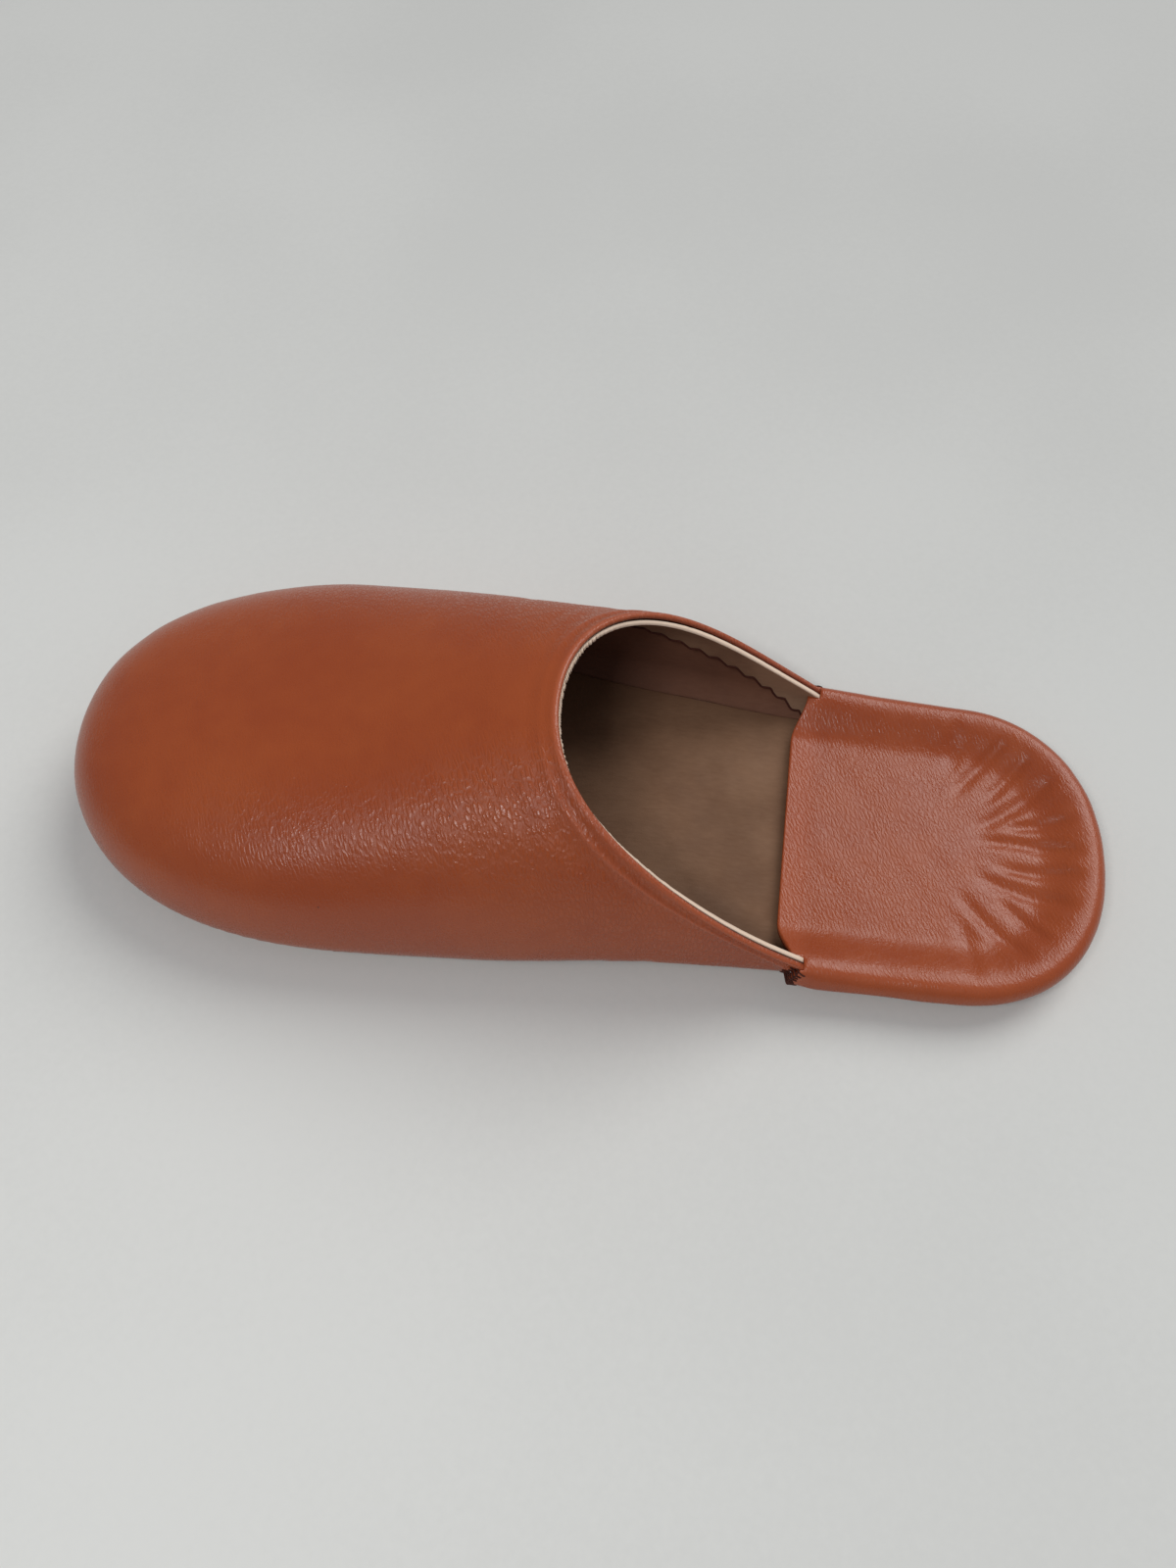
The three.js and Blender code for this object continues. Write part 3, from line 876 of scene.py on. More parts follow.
class SLIPPER_OT_upper(bpy.types.Operator):
    """Model the outer leather of the vamp and wings, with its turned edge and creases"""

    bl_idname = "slipper.upper"
    bl_label = "Upper Leather"

    EDGE_STEP = 0.32
    EDGE_BAND = 9.0
    BODY_ROWS = 68
    ROLL_TURNS = (25, 50, 75, 100, 125, 150, 180)
    HEM_ROWS = 3
    # Shares of the columns where the toe's puckers fade, and heights above the seam.
    PUCKER_SHARES = (0.34, 0.6)
    PUCKER_TOP = (0.5, 7.5)
    PUCKER_UNDER = -2.5
    SEAM_ROLL = 0.25

    def rim(self, shares, down):
        """The height of the rim's bead, groove, ridge and valley."""
        wings = wings_of(shares)
        total = np.zeros(down.shape)
        for row in rows_of(RIM_COLUMNS, RIM_PROFILE):
            height = row["vamp"] + (row["wings"] - row["vamp"]) * wings
            total = total + height * hump(down, row["down"], row["width"])
        return total

    def puckers(self, sizes, shares, edge, up_from_seam):
        """The height of the toe's puckers and of the roll of leather over the seam."""
        along = travelled(edge)
        along = (along - along[len(along) // 2])[:, None]
        sway = 0.5 * np.sin(along / 11.0) + 0.35 * np.sin(along / 4.7 + 1)
        beat = 0.5 - 0.5 * np.cos(2 * math.pi * MM * (along + sway) / sizes.pucker_pitch)
        toe = 1 - ease(np.abs(shares), *self.PUCKER_SHARES)[:, None]
        uneven = 0.55 + 0.45 * np.sin(along / 7.3 + 2) ** 2
        fade = 1 - ease(up_from_seam, *self.PUCKER_TOP)
        fade = fade * ease(up_from_seam, self.PUCKER_UNDER, 0)
        roll = self.SEAM_ROLL * hump(up_from_seam, 3.2, 1.8) * (0.4 + 0.6 * toe)
        return roll - sizes.pucker_depth / MM * beat * toe * uneven * fade

    def relief(self, sizes, shares, points, down, up_from_seam):
        """How far each point stands out of the last's surface."""
        at, across = plan_of(points)
        crease = soft_creases(at, across, UPPER_CREASES) * ease(down, 3.5, 9)
        slow = 0.22 * waves(at, across, 46, 5) + 0.07 * waves(at, across, 17, 8)
        slow = slow * ease(down, 4, 12) * ease(up_from_seam, 2, 10)
        puckers = self.puckers(sizes, shares, points[:, 0], up_from_seam)
        return self.rim(shares, down) + puckers - crease * sizes.creasing + slow

    def turned_edge(self, points, out, radius, hem):
        """Rows that roll the leather over the topline and down inside as a hem."""
        start = points[:, -1]
        up = unit(start - points[:, -3])
        up = unit(up - out * np.sum(up * out, axis=1, keepdims=True))
        rows = [
            start + radius * ((math.cos(turn) - 1) * out + math.sin(turn) * up)
            for turn in np.radians(self.ROLL_TURNS)
        ]
        for step in range(1, self.HEM_ROWS + 1):
            rows.append(start - 2 * radius * out - up * hem * step / self.HEM_ROWS)
        return np.stack(rows, axis=1)

    def marks(self, shares, points, down, up_from_seam):
        """Where the leather flexes; its lighter edges, rubbed and with painted highlights on
        the rim's bead and ridge; its darker seam to the sole; and the painted shade on the
        turned-in hem.
        """
        at, across = plan_of(points)
        share = np.abs(side_share(at, across))
        flex = 0.12 + 0.75 * (1 - ease(down, 8, 46)) * ease(share, 0.12, 0.5)
        flex = flex + 0.45 * hump(share, 0.66, 0.2) * ease(at, 20, 60)
        # Lighter on the bead at the topline (rubbed wear with a painted highlight) and on the
        # wings' ridge 4.4 below it (a painted highlight).
        edge = hump(down, 0.5, 0.7) + 0.7 * wings_of(shares) * hump(down, 4.4, 0.5)
        from_last = points.shape[1] - 1 - np.arange(points.shape[1])
        # The turned-in hem is painted shade: the dark gap between the rim and the facing.
        hem_painted_shade = 1.4 * (1 - ease(from_last, self.HEM_ROWS, self.HEM_ROWS + 4))
        return {
            "flex": np.clip(flex, 0, 1),
            "edge": np.clip(edge, 0, 1),
            "seam": np.maximum(1 - ease(up_from_seam, 0, 3.0), hem_painted_shade),
        }

    def execute(self, context):
        sizes, colours = settings_of(context)
        shares, dense, total = upper_layout(sizes.columns)
        radius = sizes.rim_radius / MM
        near = np.arange(radius, self.EDGE_BAND, self.EDGE_STEP)
        body = np.linspace(0, 1, self.BODY_ROWS + 1)[1:]
        spare = total[:, None] - near[-1]
        near_all = np.broadcast_to(near, (len(shares), len(near)))
        down = np.concatenate([near_all, near[-1] + spare * body], axis=1)[:, ::-1]
        above_seam = total[:, None] - LASTING_MARGIN
        surface = resample(dense, down)
        normals = grid_normals(surface)
        raised = self.relief(sizes, shares, surface, down, above_seam - down)
        points = surface + normals * raised[..., None]
        rolled = self.turned_edge(points, normals[:, -1], radius, sizes.hem / MM)
        points = np.concatenate([points, rolled], axis=1)
        down = np.concatenate([down, np.zeros(rolled.shape[:2])], axis=1)
        marks = self.marks(shares, points, down, above_seam - down)
        add_piece(
            "upper_leather",
            sheet_mesh("upper_leather", points, attributes=marks),
            dyed_leather("Terracotta Leather", colours),
            stands_for=("upper",),
            thick=sizes.leather / MM,
        )
        return {"FINISHED"}


def inside_sheet(columns, start, end, rows, depth):
    """A sheet inside the upper at a depth below its surface, from start to end down it.

    The sheet's first index goes round and its second goes down, so it faces inwards.
    """
    shares, dense, total = upper_layout(columns)
    start = np.broadcast_to(start, len(shares))[:, None]
    end = (total - LASTING_MARGIN if end is None else end)[:, None]
    down = start + (end - start) * np.linspace(0, 1, rows + 1)[None, :]
    surface = resample(dense, down)
    fine = np.linspace(0, 1, 241)[None, :]
    whole = resample(dense, total[:, None] * fine)[:, ::-1]
    whole_normals = grid_normals(whole)[:, ::-1]
    normals = np.empty_like(surface)
    for i in range(len(shares)):
        for axis in range(3):
            normals[i, :, axis] = np.interp(
                down[i], total[i] * fine[0], whole_normals[i, :, axis]
            )
    return down, surface - unit(normals) * depth


class SLIPPER_OT_lining(bpy.types.Operator):
    """Model the lining, the facing inside the topline and the facing's raw edge"""

    bl_idname = "slipper.lining"
    bl_label = "Lining and Facing"

    LINING_DEPTH = 1.7
    LINING_START = 4.0
    LINING_ROWS = 60
    FACING_DEPTH = 2.8
    FACING_START = 0.4
    FACING_ROWS = 34
    COLUMNS = 300
    ROUND = 150.0  # millimetres of the topline to one share of the columns

    def raw_edge(self, shares):
        """How far the facing's cut edge is below the topline, unevenly."""
        along = shares * self.ROUND
        jag = 0.4 * waves(along, 0, 3.3, 21) + 0.35 * waves(along, 0, 1.7, 4)
        toe_side = 1 - ease(np.abs(shares), 0.3, 0.62)
        return self.FACING_START + jag * (0.3 + 1.9 * toe_side) - 0.25 * toe_side

    def execute(self, context):
        sizes, colours = settings_of(context)
        layout = (self.COLUMNS, self.LINING_START, None, self.LINING_ROWS)
        down, points = inside_sheet(*layout, self.LINING_DEPTH)
        # The lining darkens further down into the shoe: painted shade.
        marks = {"edge": np.zeros_like(down), "wear_and_shade": 0.5 * ease(down, 8, 30)}
        tan = (colours.lining, colours.lining_deep, colours.raw_edge)
        add_piece(
            "upper_lining",
            sheet_mesh("upper_lining", points, attributes=marks),
            cream_leather("Tan Lining", *tan),
            stands_for=("upper",),
            thick=sizes.lining / MM,
        )

        columns = sizes.columns
        shares = np.linspace(-1, 1, columns + 1)
        start = self.raw_edge(shares)
        layout = (columns, start, zigzag_line(sizes, shares), self.FACING_ROWS)
        down, points = inside_sheet(*layout, self.FACING_DEPTH)
        raw = 1 - ease(down - start[:, None], 0.15, 1.1)
        marks = {"edge": raw, "wear_and_shade": np.zeros_like(down)}
        cream = (colours.cream, colours.cream_deep, colours.raw_edge)
        add_piece(
            "topline_facing",
            sheet_mesh("topline_facing", points, attributes=marks),
            cream_leather("Cream Facing", *cream),
            thick=sizes.facing / MM,
        )
        return {"FINISHED"}


def zigzag_line(sizes, shares):
    """How far the zigzag along the facing's lower edge is below the topline."""
    round_throat = 1 - ease(np.abs(shares), 0.45, 0.95)
    middle = (sizes.facing_width + sizes.facing_spread * round_throat) / MM
    rim = resample(upper_columns(shares), middle[:, None])[:, 0]
    along = travelled(rim)
    along = along - along[-1] / 2
    pitch = sizes.stitch_pitch / MM
    turn = 2 * math.pi * (along + 0.3 * np.sin(along / 9)) / pitch
    swing = (2 / math.pi) * np.arcsin(0.96 * np.sin(turn))
    uneven = 0.12 * np.sin(along / 6.3) + 0.1 * np.sin(along / 2.9 + 1)
    return middle + sizes.stitch_width / MM / 2 * swing + uneven


class SLIPPER_OT_stitch(bpy.types.Operator):
    """Sew the facing's lower edge with a dark zigzag"""

    bl_idname = "slipper.stitch"
    bl_label = "Zigzag Stitch"

    SAMPLES = 1401
    END_SHARE = 0.995

    def execute(self, context):
        sizes, colours = settings_of(context)
        shares = np.linspace(-self.END_SHARE, self.END_SHARE, self.SAMPLES)
        down = zigzag_line(sizes, shares)
        dense = upper_columns(shares)
        here = resample(dense, (down - 0.35)[:, None])[:, 0]
        above = resample(dense, (down - 1.35)[:, None])[:, 0]
        around = np.gradient(here, axis=0)
        outward = unit(np.cross(around, above - here))
        depth = SLIPPER_OT_lining.FACING_DEPTH + 0.6 * sizes.thread / MM
        path = here - outward * depth
        mesh = thread_mesh("zigzag_stitch", [path], sizes.thread / MM)
        add_piece("zigzag_stitch", mesh, waxed_thread("Dark Thread", colours))
        return {"FINISHED"}


def in_two(start, middle, first, end, second):
    """Even steps from start to middle, first of them, and on to end, second of them."""
    before = np.linspace(start, middle, first, endpoint=False)
    return np.concatenate([before, np.linspace(middle, end, second + 1)])


def quarter_outline(share):
    """The quarter's plan from its front end (0) to the middle of the heel (1)."""

    def half(at):
        return side_at(at) + QUARTER_OUT

    side = np.clip(share / QUARTER_SIDE_SHARE, 0, 1)
    at_side = QUARTER_FRONT + (HEEL_AT - QUARTER_FRONT) * side
    turn = (1 - (share - QUARTER_SIDE_SHARE) / (1 - QUARTER_SIDE_SHARE)) * math.pi / 2
    turn = np.clip(turn, 0, math.pi / 2)
    along, across = round_end(turn, LENGTH - HEEL_AT, half(HEEL_AT))
    straight = share < QUARTER_SIDE_SHARE
    return (
        np.where(straight, at_side, HEEL_AT + along),
        np.where(straight, half(at_side), across),
    )


def fold_top_at(at):
    return FOLD_HEIGHT + FOLD_RISE * (1 - ease(at, QUARTER_FRONT, FOLD_RISE_TO))


def tuck_at(at):
    """How far the quarter's lower edge is inside its widest line."""
    side = side_at(at) + QUARTER_OUT - sole_at(at)
    heel = np.clip((at - HEEL_AT) / (LENGTH - HEEL_AT), 0, 1)
    return side + (SOLE_HEEL_INSET - side) * heel


def tab_cut(height):
    """How far the quarter's front edge is behind its point."""
    return TAB_CUT * np.clip(np.abs(height - TAB_HEIGHT) / TAB_REACH, 0, 1) ** 1.5


def tab_hug(at, height):
    """How far the quarter's front end is drawn in to the wing."""
    near = 1 - ease(at, QUARTER_FRONT, QUARTER_FRONT + TAB_LENGTH)
    return TAB_HUG * near * (1 - ease(height, TAB_HEIGHT + 1, FOLD_HEIGHT + FOLD_RISE))


class SLIPPER_OT_quarter(bpy.types.Operator):
    """Model the heel quarter, folded down inside the heel with its gathers"""

    bl_idname = "slipper.quarter"
    bl_label = "Folded Heel Quarter"

    SLOT_COLUMNS = 6
    HALF_COLUMNS = 110
    # Rows up the wall, over the fold's outer and inner parts, and down over the slope.
    WALL_ROWS = 10
    OUTER_ROWS, INNER_ROWS = 8, 4
    SLOT_ROWS, SLOPE_ROWS = 3, 13
    FLAP_ROWS = 22
    SLOT_START = WALL_ROWS + OUTER_ROWS
    FOLD_ROW = SLOT_START + INNER_ROWS
    SLOT_STOP = FOLD_ROW + SLOT_ROWS

    def profile(self, tuck, fold_top):
        """Inward distances and heights, from the lower edge over the fold to the flap."""
        angle = np.linspace(TUCK_TURN, 0, self.WALL_ROWS, endpoint=False)
        inward = tuck[:, None] * (1 - np.cos(angle)) / (1 - math.cos(TUCK_TURN))
        down = np.sin(angle) / math.sin(TUCK_TURN)
        low = SOLE_THICK + GAP * 0.3
        wall_height = QUARTER_WIDEST + (low - QUARTER_WIDEST) * down
        slot_turn = math.acos(1 - SLOT_INWARD[0] / FOLD_INWARD)
        turns = in_two(0, slot_turn, self.OUTER_ROWS, math.pi / 2, self.INNER_ROWS)[:-1]
        fold_inward = FOLD_INWARD * (1 - np.cos(turns))
        fold_height = QUARTER_WIDEST + (fold_top[:, None] - QUARTER_WIDEST) * np.sin(turns)
        slot_part = (SLOT_INWARD[1] - FOLD_INWARD) / (FLAP_INWARD - FOLD_INWARD)
        parts = in_two(0, slot_part, self.SLOT_ROWS, 1, self.SLOPE_ROWS)
        drop = (1 + np.cos(parts * math.pi)) / 2
        slope_inward = FOLD_INWARD + (FLAP_INWARD - FOLD_INWARD) * parts
        slope_height = FLAP_HEIGHT + (fold_top[:, None] - FLAP_HEIGHT) * drop
        shape = (len(tuck), 1)
        inwards = [inward, np.tile(fold_inward, shape), np.tile(slope_inward, shape)]
        heights = [np.tile(wall_height, shape), fold_height, slope_height]
        return np.concatenate(inwards, axis=1), np.concatenate(heights, axis=1)

    def half(self, hand):
        """One hand's columns from the front end to the middle of the heel."""
        slot_share = QUARTER_SIDE_SHARE * (SLOT_END - QUARTER_FRONT) / (HEEL_AT - QUARTER_FRONT)
        share = in_two(0, slot_share, self.SLOT_COLUMNS, 1, self.HALF_COLUMNS)
        nudge = 1e-3
        at, across = quarter_outline(share)
        before = quarter_outline(np.maximum(share - nudge, 0))
        after = quarter_outline(np.minimum(share + nudge, 1))
        along = unit(np.stack([after[0] - before[0], after[1] - before[1]], axis=1))
        inward_at, inward_across = along[:, 1], -along[:, 0]
        behind_front = ease(at, QUARTER_FRONT, FOLD_RISE_TO)
        inward_at = inward_at * behind_front
        inward, height = self.profile(tuck_at(at), fold_top_at(at))
        over_at = at[:, None] + inward_at[:, None] * inward
        ahead = (QUARTER_FRONT - FLAP_FRONT) * (1 - behind_front)
        over_at = over_at - ahead[:, None] * ease(inward, SLOT_INWARD[1], FLAP_INWARD)
        over_across = np.maximum(across[:, None] + inward_across[:, None] * inward, 0)
        outer = 1 - ease(np.arange(inward.shape[1]), self.SLOT_START, self.SLOT_STOP)
        behind = np.clip((at - QUARTER_FRONT) / (SLOT_END - QUARTER_FRONT), 0, 1)
        over_at = over_at + tab_cut(height) * (1 - behind)[:, None] * outer
        over_across = over_across - tab_hug(over_at, height) * outer
        over = place(over_at, over_across, height)
        spine_at = FLAP_FRONT + (SPINE_END - FLAP_FRONT) * share
        spine = place(spine_at, 0, FLAP_HEIGHT)
        part = (np.arange(self.FLAP_ROWS) + 1)[None, :, None] / self.FLAP_ROWS
        flap = over[:, -1:, :] + (spine[:, None, :] - over[:, -1:, :]) * part
        grid = np.concatenate([over, flap], axis=1)
        grid[..., 1] *= hand
        return inward, grid

    def execute(self, context):
        sizes, colours = settings_of(context)
        inward, left = self.half(1)
        right = self.half(-1)[1]
        grid = np.concatenate([left, right[::-1][1:]], axis=0)
        normals = grid_normals(grid)
        row = np.arange(grid.shape[1])[None, :]
        at, across = plan_of(grid)
        low_part = 1 - ease(row, 0, 5)
        front = 1 - ease(at, QUARTER_FRONT, QUARTER_FRONT + 5)
        relief = 0.22 * waves(at, across, 30, 31) + 0.07 * waves(at, across, 11, 9)
        relief = relief - gathered(at, across) * sizes.creasing
        relief = relief * (1 - 0.8 * low_part) * (1 - 0.8 * front)
        middle = np.abs(across) < 1e-6
        normals[middle & (row >= inward.shape[1])] = (0, 0, 1)
        points = grid + normals * relief[..., None]
        points[..., 1][middle] = 0
        holes = np.zeros((grid.shape[0] - 1, grid.shape[1] - 1), bool)
        for front_columns in (slice(self.SLOT_COLUMNS), slice(-self.SLOT_COLUMNS, None)):
            holes[front_columns, self.SLOT_START : self.SLOT_STOP] = True
        edge = 0.6 * hump(row, self.FOLD_ROW - 3, 4) + 0.8 * front
        marks = {
            "flex": np.full(relief.shape, FLEX),
            "edge": np.clip(edge, 0, 1) * 0.6,
            "seam": np.broadcast_to(low_part, relief.shape),
        }
        mesh = sheet_mesh("heel_quarter_leather", points, holes, marks, joined=True)
        add_piece(
            "heel_quarter_leather",
            mesh,
            dyed_leather("Terracotta Leather", colours),
            stands_for=("heel_quarter",),
            thick=sizes.quarter / MM,
        )
        return {"FINISHED"}


class SLIPPER_OT_bar_tacks(bpy.types.Operator):
    """Sew the bar tack that holds each wing to the quarter"""

    bl_idname = "slipper.bar_tacks"
    bl_label = "Bar Tacks"

    ARM_STITCHES = 6
    ARM_REACH = {1: 3.9, -1: 2.6}
    FIRST = 0.35
    STITCH_BACK, STITCH_AHEAD = 1.2, 1.5

    def inset_below(self, below, height, inset):
        """How far a wall that turns under by inset is in, from its widest height down."""
        low = np.clip((below - height) / (below - SOLE_THICK), 0, 1)
        turn = np.arcsin(low * math.sin(TUCK_TURN))
        return inset * (1 - np.cos(turn)) / (1 - math.cos(TUCK_TURN))

    def surface(self, at, height, rise):
        """A point on the shoe's side, on the quarter or on the wing ahead of it."""
        high = np.clip((height - QUARTER_WIDEST) / (fold_top_at(at) - QUARTER_WIDEST), 0, 0.97)
        quarter = side_at(at) + QUARTER_OUT - FOLD_INWARD * (1 - np.sqrt(1 - high**2))
        quarter = quarter - self.inset_below(QUARTER_WIDEST, height, tuck_at(at))
        quarter = quarter - tab_hug(at, height)
        widest, power = widest_at(at), power_at(at)
        high = np.clip((height - widest) / (crown_at(at) - widest), 0, 1)
        wing = side_at(at) * (1 - high**power) ** (1 / power)
        low_inset = side_at(at) - sole_at(at) + margin_at(at)
        wing = wing - self.inset_below(widest, height, low_inset)
        ahead = QUARTER_FRONT + tab_cut(height) - at
        across = quarter + (wing - quarter) * ease(ahead, 0.0, 0.9) + rise
        return place(at, across, height)

    def stitches(self):
        """Each stitch's ends on the quarter and on the wing, whipped round the point."""
        for arm, high in self.ARM_REACH.items():
            for step in range(self.ARM_STITCHES):
                off = self.FIRST + (high - self.FIRST) * step / (self.ARM_STITCHES - 1)
                uneven = 0.25 * math.sin(3.7 * step + arm)
                height = TAB_HEIGHT + arm * off
                at = QUARTER_FRONT + tab_cut(height)
                lean = 0.62 * arm * min(off / self.FIRST - 0.6, 1)
                back, ahead = self.STITCH_BACK + uneven, self.STITCH_AHEAD - uneven
                start = (at + back, height - lean * back)
                yield (*start, at - ahead, height + lean * ahead)
            end = TAB_HEIGHT + arm * high
            yield (QUARTER_FRONT - 0.2, TAB_HEIGHT, QUARTER_FRONT + tab_cut(end) - 0.2, end)

    def execute(self, context):
        sizes, colours = settings_of(context)
        radius = sizes.thread / MM * 0.75
        paths = []
        for start_at, start_height, end_at, end_height in self.stitches():
            part = np.linspace(0, 1, 25)
            at = start_at + (end_at - start_at) * part
            height = start_height + (end_height - start_height) * part
            rise = radius * (1.9 * np.sin(part * math.pi) ** 0.4 - 0.9)
            for hand in (1, -1):
                path = self.surface(at, height, rise)
                path[:, 1] *= hand
                paths.append(path)
        mesh = thread_mesh("side_bar_tacks", paths, radius)
        add_piece("side_bar_tacks", mesh, waxed_thread("Dark Thread", colours))
        return {"FINISHED"}


TOE_TURN_SHARE, HEEL_TURN_SHARE = 0.26, 0.22
SPINE_FROM_END = (40.0, 30.0)
SLAB_SPACING = 1.4  # over 1 sets a slab's rows closer together towards its edge


def slab(inset, profile, columns):
    """A closed slab of leather inside the sole's outline by inset(at).

    profile rows are (inward, height, share): the distance inside the edge, the height, and
    the share of the way from there to the middle line. It starts and ends at share 1.
    """
    toe = SOLE_TOE_INSET + inset(0)
    heel = LENGTH - SOLE_HEEL_INSET - inset(HEEL_AT)
    share = np.linspace(0, 1, columns // 2 + 1)
    turn = np.clip(share / TOE_TURN_SHARE, 0, 1) * math.pi / 2
    along, across = round_end(turn, BALL_AT - toe, sole_at(BALL_AT) - inset(BALL_AT))
    side = np.clip((share - TOE_TURN_SHARE) / (1 - TOE_TURN_SHARE - HEEL_TURN_SHARE), 0, 1)
    side_station = BALL_AT + (HEEL_AT - BALL_AT) * side
    back = np.clip((1 - share) / HEEL_TURN_SHARE, 0, 1) * math.pi / 2
    heel_along, heel_across = round_end(back, heel - HEEL_AT, sole_at(HEEL_AT) - inset(HEEL_AT))
    at = np.where(share <= TOE_TURN_SHARE, BALL_AT - along, side_station)
    wide = np.where(share <= TOE_TURN_SHARE, across, sole_at(at) - inset(at))
    rear = share >= 1 - HEEL_TURN_SHARE
    at = np.where(rear, HEEL_AT + heel_along, at)
    wide = np.where(rear, heel_across, wide)
    at = np.concatenate([at, at[::-1][1:]])
    wide = np.concatenate([wide, -wide[::-1][1:]])
    ahead_at = np.gradient(np.concatenate([at[-2:-1], at, at[1:2]]))[1:-1]
    ahead_across = np.gradient(np.concatenate([wide[-2:-1], wide, wide[1:2]]))[1:-1]
    ahead = unit(np.stack([ahead_at, ahead_across], axis=1))
    inward_at, inward_across = ahead[:, 1], -ahead[:, 0]
    spine = np.clip(at, toe + SPINE_FROM_END[0], heel - SPINE_FROM_END[1])
    rows = []
    for inward, height, middle in profile:
        row_at = at + inward_at * inward
        row_across = wide + inward_across * inward
        row_at = row_at + (spine - row_at) * middle
        row_across = row_across * (1 - middle)
        rows.append(place(row_at, row_across, height))
    return np.stack(rows, axis=1)


def slab_profile(bottom, top, corner, flat_rows, corner_rows=5):
    """A slab's profile with both edges rounded, from under its middle to over it."""
    shares = (1 - np.linspace(0, 1, flat_rows + 1)) ** SLAB_SPACING
    under = [(corner, bottom, share) for share in shares]
    turns = np.linspace(0, math.pi / 2, corner_rows + 1)[1:]
    low = [
        (corner * (1 - math.sin(t)), bottom + corner * (1 - math.cos(t)), 0) for t in turns
    ]
    high = [(corner * (1 - math.cos(t)), top - corner * (1 - math.sin(t)), 0) for t in turns]
    over = [(corner, top, share) for share in shares[::-1][1:]]
    return under + low + [(0, top - corner, 0)] + high + over


class SLIPPER_OT_insole(bpy.types.Operator):
    """Model the insole with its soft edge and the marks of the foot"""

    bl_idname = "slipper.insole"
    bl_label = "Insole"

    COLUMNS = 240
    FLAT_ROWS = 18
    THICK = 0.95
    REACH = 1.6
    # Where the ball and heel press: the station, the spread along and across, and the depth.
    BALL, BALL_DEPTH = (72, 26, 27), 0.28
    HEEL, HEEL_DEPTH = (208, 20, 22), 0.3

    def pressed(self, at, across, station, along, wide):
        """1 under the middle of a part of the foot, fading round it."""
        return hump(at, station, along) * hump(across, 0, wide)

    def execute(self, context):
        sizes, colours = settings_of(context)
        top = SOLE_THICK + GAP + INSOLE_THICK
        bottom = top - self.THICK
        profile = slab_profile(bottom, top, self.THICK / 2, self.FLAT_ROWS)
        grid = slab(lambda at: insole_at(at) - self.REACH, profile, self.COLUMNS)
        at, across = plan_of(grid)
        upper_half = np.array([row[1] > top - 0.3 for row in profile])[None, :]
        half = np.maximum(sole_at(at) - insole_at(at), 1)
        cup = 0.35 * ease(np.abs(across) / half, 0.75, 1.0)
        ball = self.pressed(at, across, *self.BALL)
        heel = self.pressed(at, across, *self.HEEL)
        press = self.BALL_DEPTH * ball + self.HEEL_DEPTH * heel
        slow = 0.1 * waves(at, across, 30, 3)
        grid[..., 2] += np.where(upper_half, cup - press + slow, 0)
        mark = np.array([row[2] for row in profile])[None, :]
        # Darker where the ball and heel wear it, and along the insole's edge.
        wear_and_shade = np.clip(0.8 * ball + heel, 0, 1) * 0.5 + 0.35 * (1 - ease(mark, 0.0, 0.08))
        marks = {"edge": np.zeros(at.shape), "wear_and_shade": np.broadcast_to(wear_and_shade, at.shape)}
        tans = (colours.insole, colours.insole_deep, colours.raw_edge)
        add_piece(
            "insole_cover",
            sheet_mesh("insole_cover", grid, attributes=marks, joined=True),
            cream_leather("Insole Leather", *tans, nap=0.8, roughness=0.72),
            stands_for=("insole",),
        )
        return {"FINISHED"}


class SLIPPER_OT_outsole(bpy.types.Operator):
    """Model the outsole with its rounded, burnished edge"""

    bl_idname = "slipper.outsole"
    bl_label = "Outsole"

    COLUMNS = 320
    FLAT_ROWS = 20
    CORNER = 0.9
    CHANNEL = (0.07, 0.018)  # the closed channel over the stitches, in shares inward
    # Stations and spreads of the worn parts, and of the parts pressed flat.
    WORN_BALL, WORN_HEEL = (75, 24), (215, 20)
    FLAT_BALL, FLAT_HEEL = (75, 30), (212, 22)

    def execute(self, context):
        sizes, colours = settings_of(context)
        profile = slab_profile(0, SOLE_THICK, self.CORNER, self.FLAT_ROWS)
        grid = slab(lambda at: 0 * at, profile, self.COLUMNS)
        heights = np.array([row[1] for row in profile])[None, :]
        middles = np.array([row[2] for row in profile])[None, :]
        at, across = plan_of(grid)
        under = (heights < 0.01) & (middles > 0)
        bruise = 0.12 * hump(middles, *self.CHANNEL) + 0.05 * (1 + waves(at, across, 24, 12))
        bruise = bruise + 0.04 * (1 + waves(at, across, 9, 2))
        flat_part = np.clip(hump(at, *self.FLAT_BALL) + hump(at, *self.FLAT_HEEL), 0, 1)
        grid[..., 2] += np.where(under, bruise * (1 - 0.9 * flat_part), 0)
        edge = (middles == 0) & (heights > 0.01)
        ball, heel = hump(at, *self.WORN_BALL), hump(at, *self.WORN_HEEL)
        wear_and_shade = np.clip(0.8 * ball + 0.9 * heel, 0, 1)
        marks = {"edge": np.broadcast_to(edge * 0.85, at.shape), "wear_and_shade": wear_and_shade * 0.9}
        tans = (colours.sole, colours.sole_deep, colours.sole_edge)
        add_piece(
            "outsole_leather",
            sheet_mesh("outsole_leather", grid, attributes=marks, joined=True),
            cream_leather("Sole Leather", *tans, nap=0.7, roughness=0.6),
            stands_for=("outsole",),
        )
        return {"FINISHED"}


# --- Stage ------------------------------------------------------------------------------


def aimed(direction, towards, roll=0.0):
    """A rotation that looks along direction with towards up, then rolls."""
    back = -direction.normalized()
    right = towards.cross(back).normalized()
    up = back.cross(right)
    turned_right = math.cos(roll) * right + math.sin(roll) * up
    turned_up = -math.sin(roll) * right + math.cos(roll) * up
    return Matrix((turned_right, turned_up, back)).transposed().to_quaternion()


def from_angles(azimuth, elevation, distance):
    """A place seen from the origin, with azimuth from the toe towards the left."""
    flat = math.cos(elevation) * distance
    high = math.sin(elevation) * distance
    return Vector((flat * math.cos(azimuth), flat * math.sin(azimuth), high))


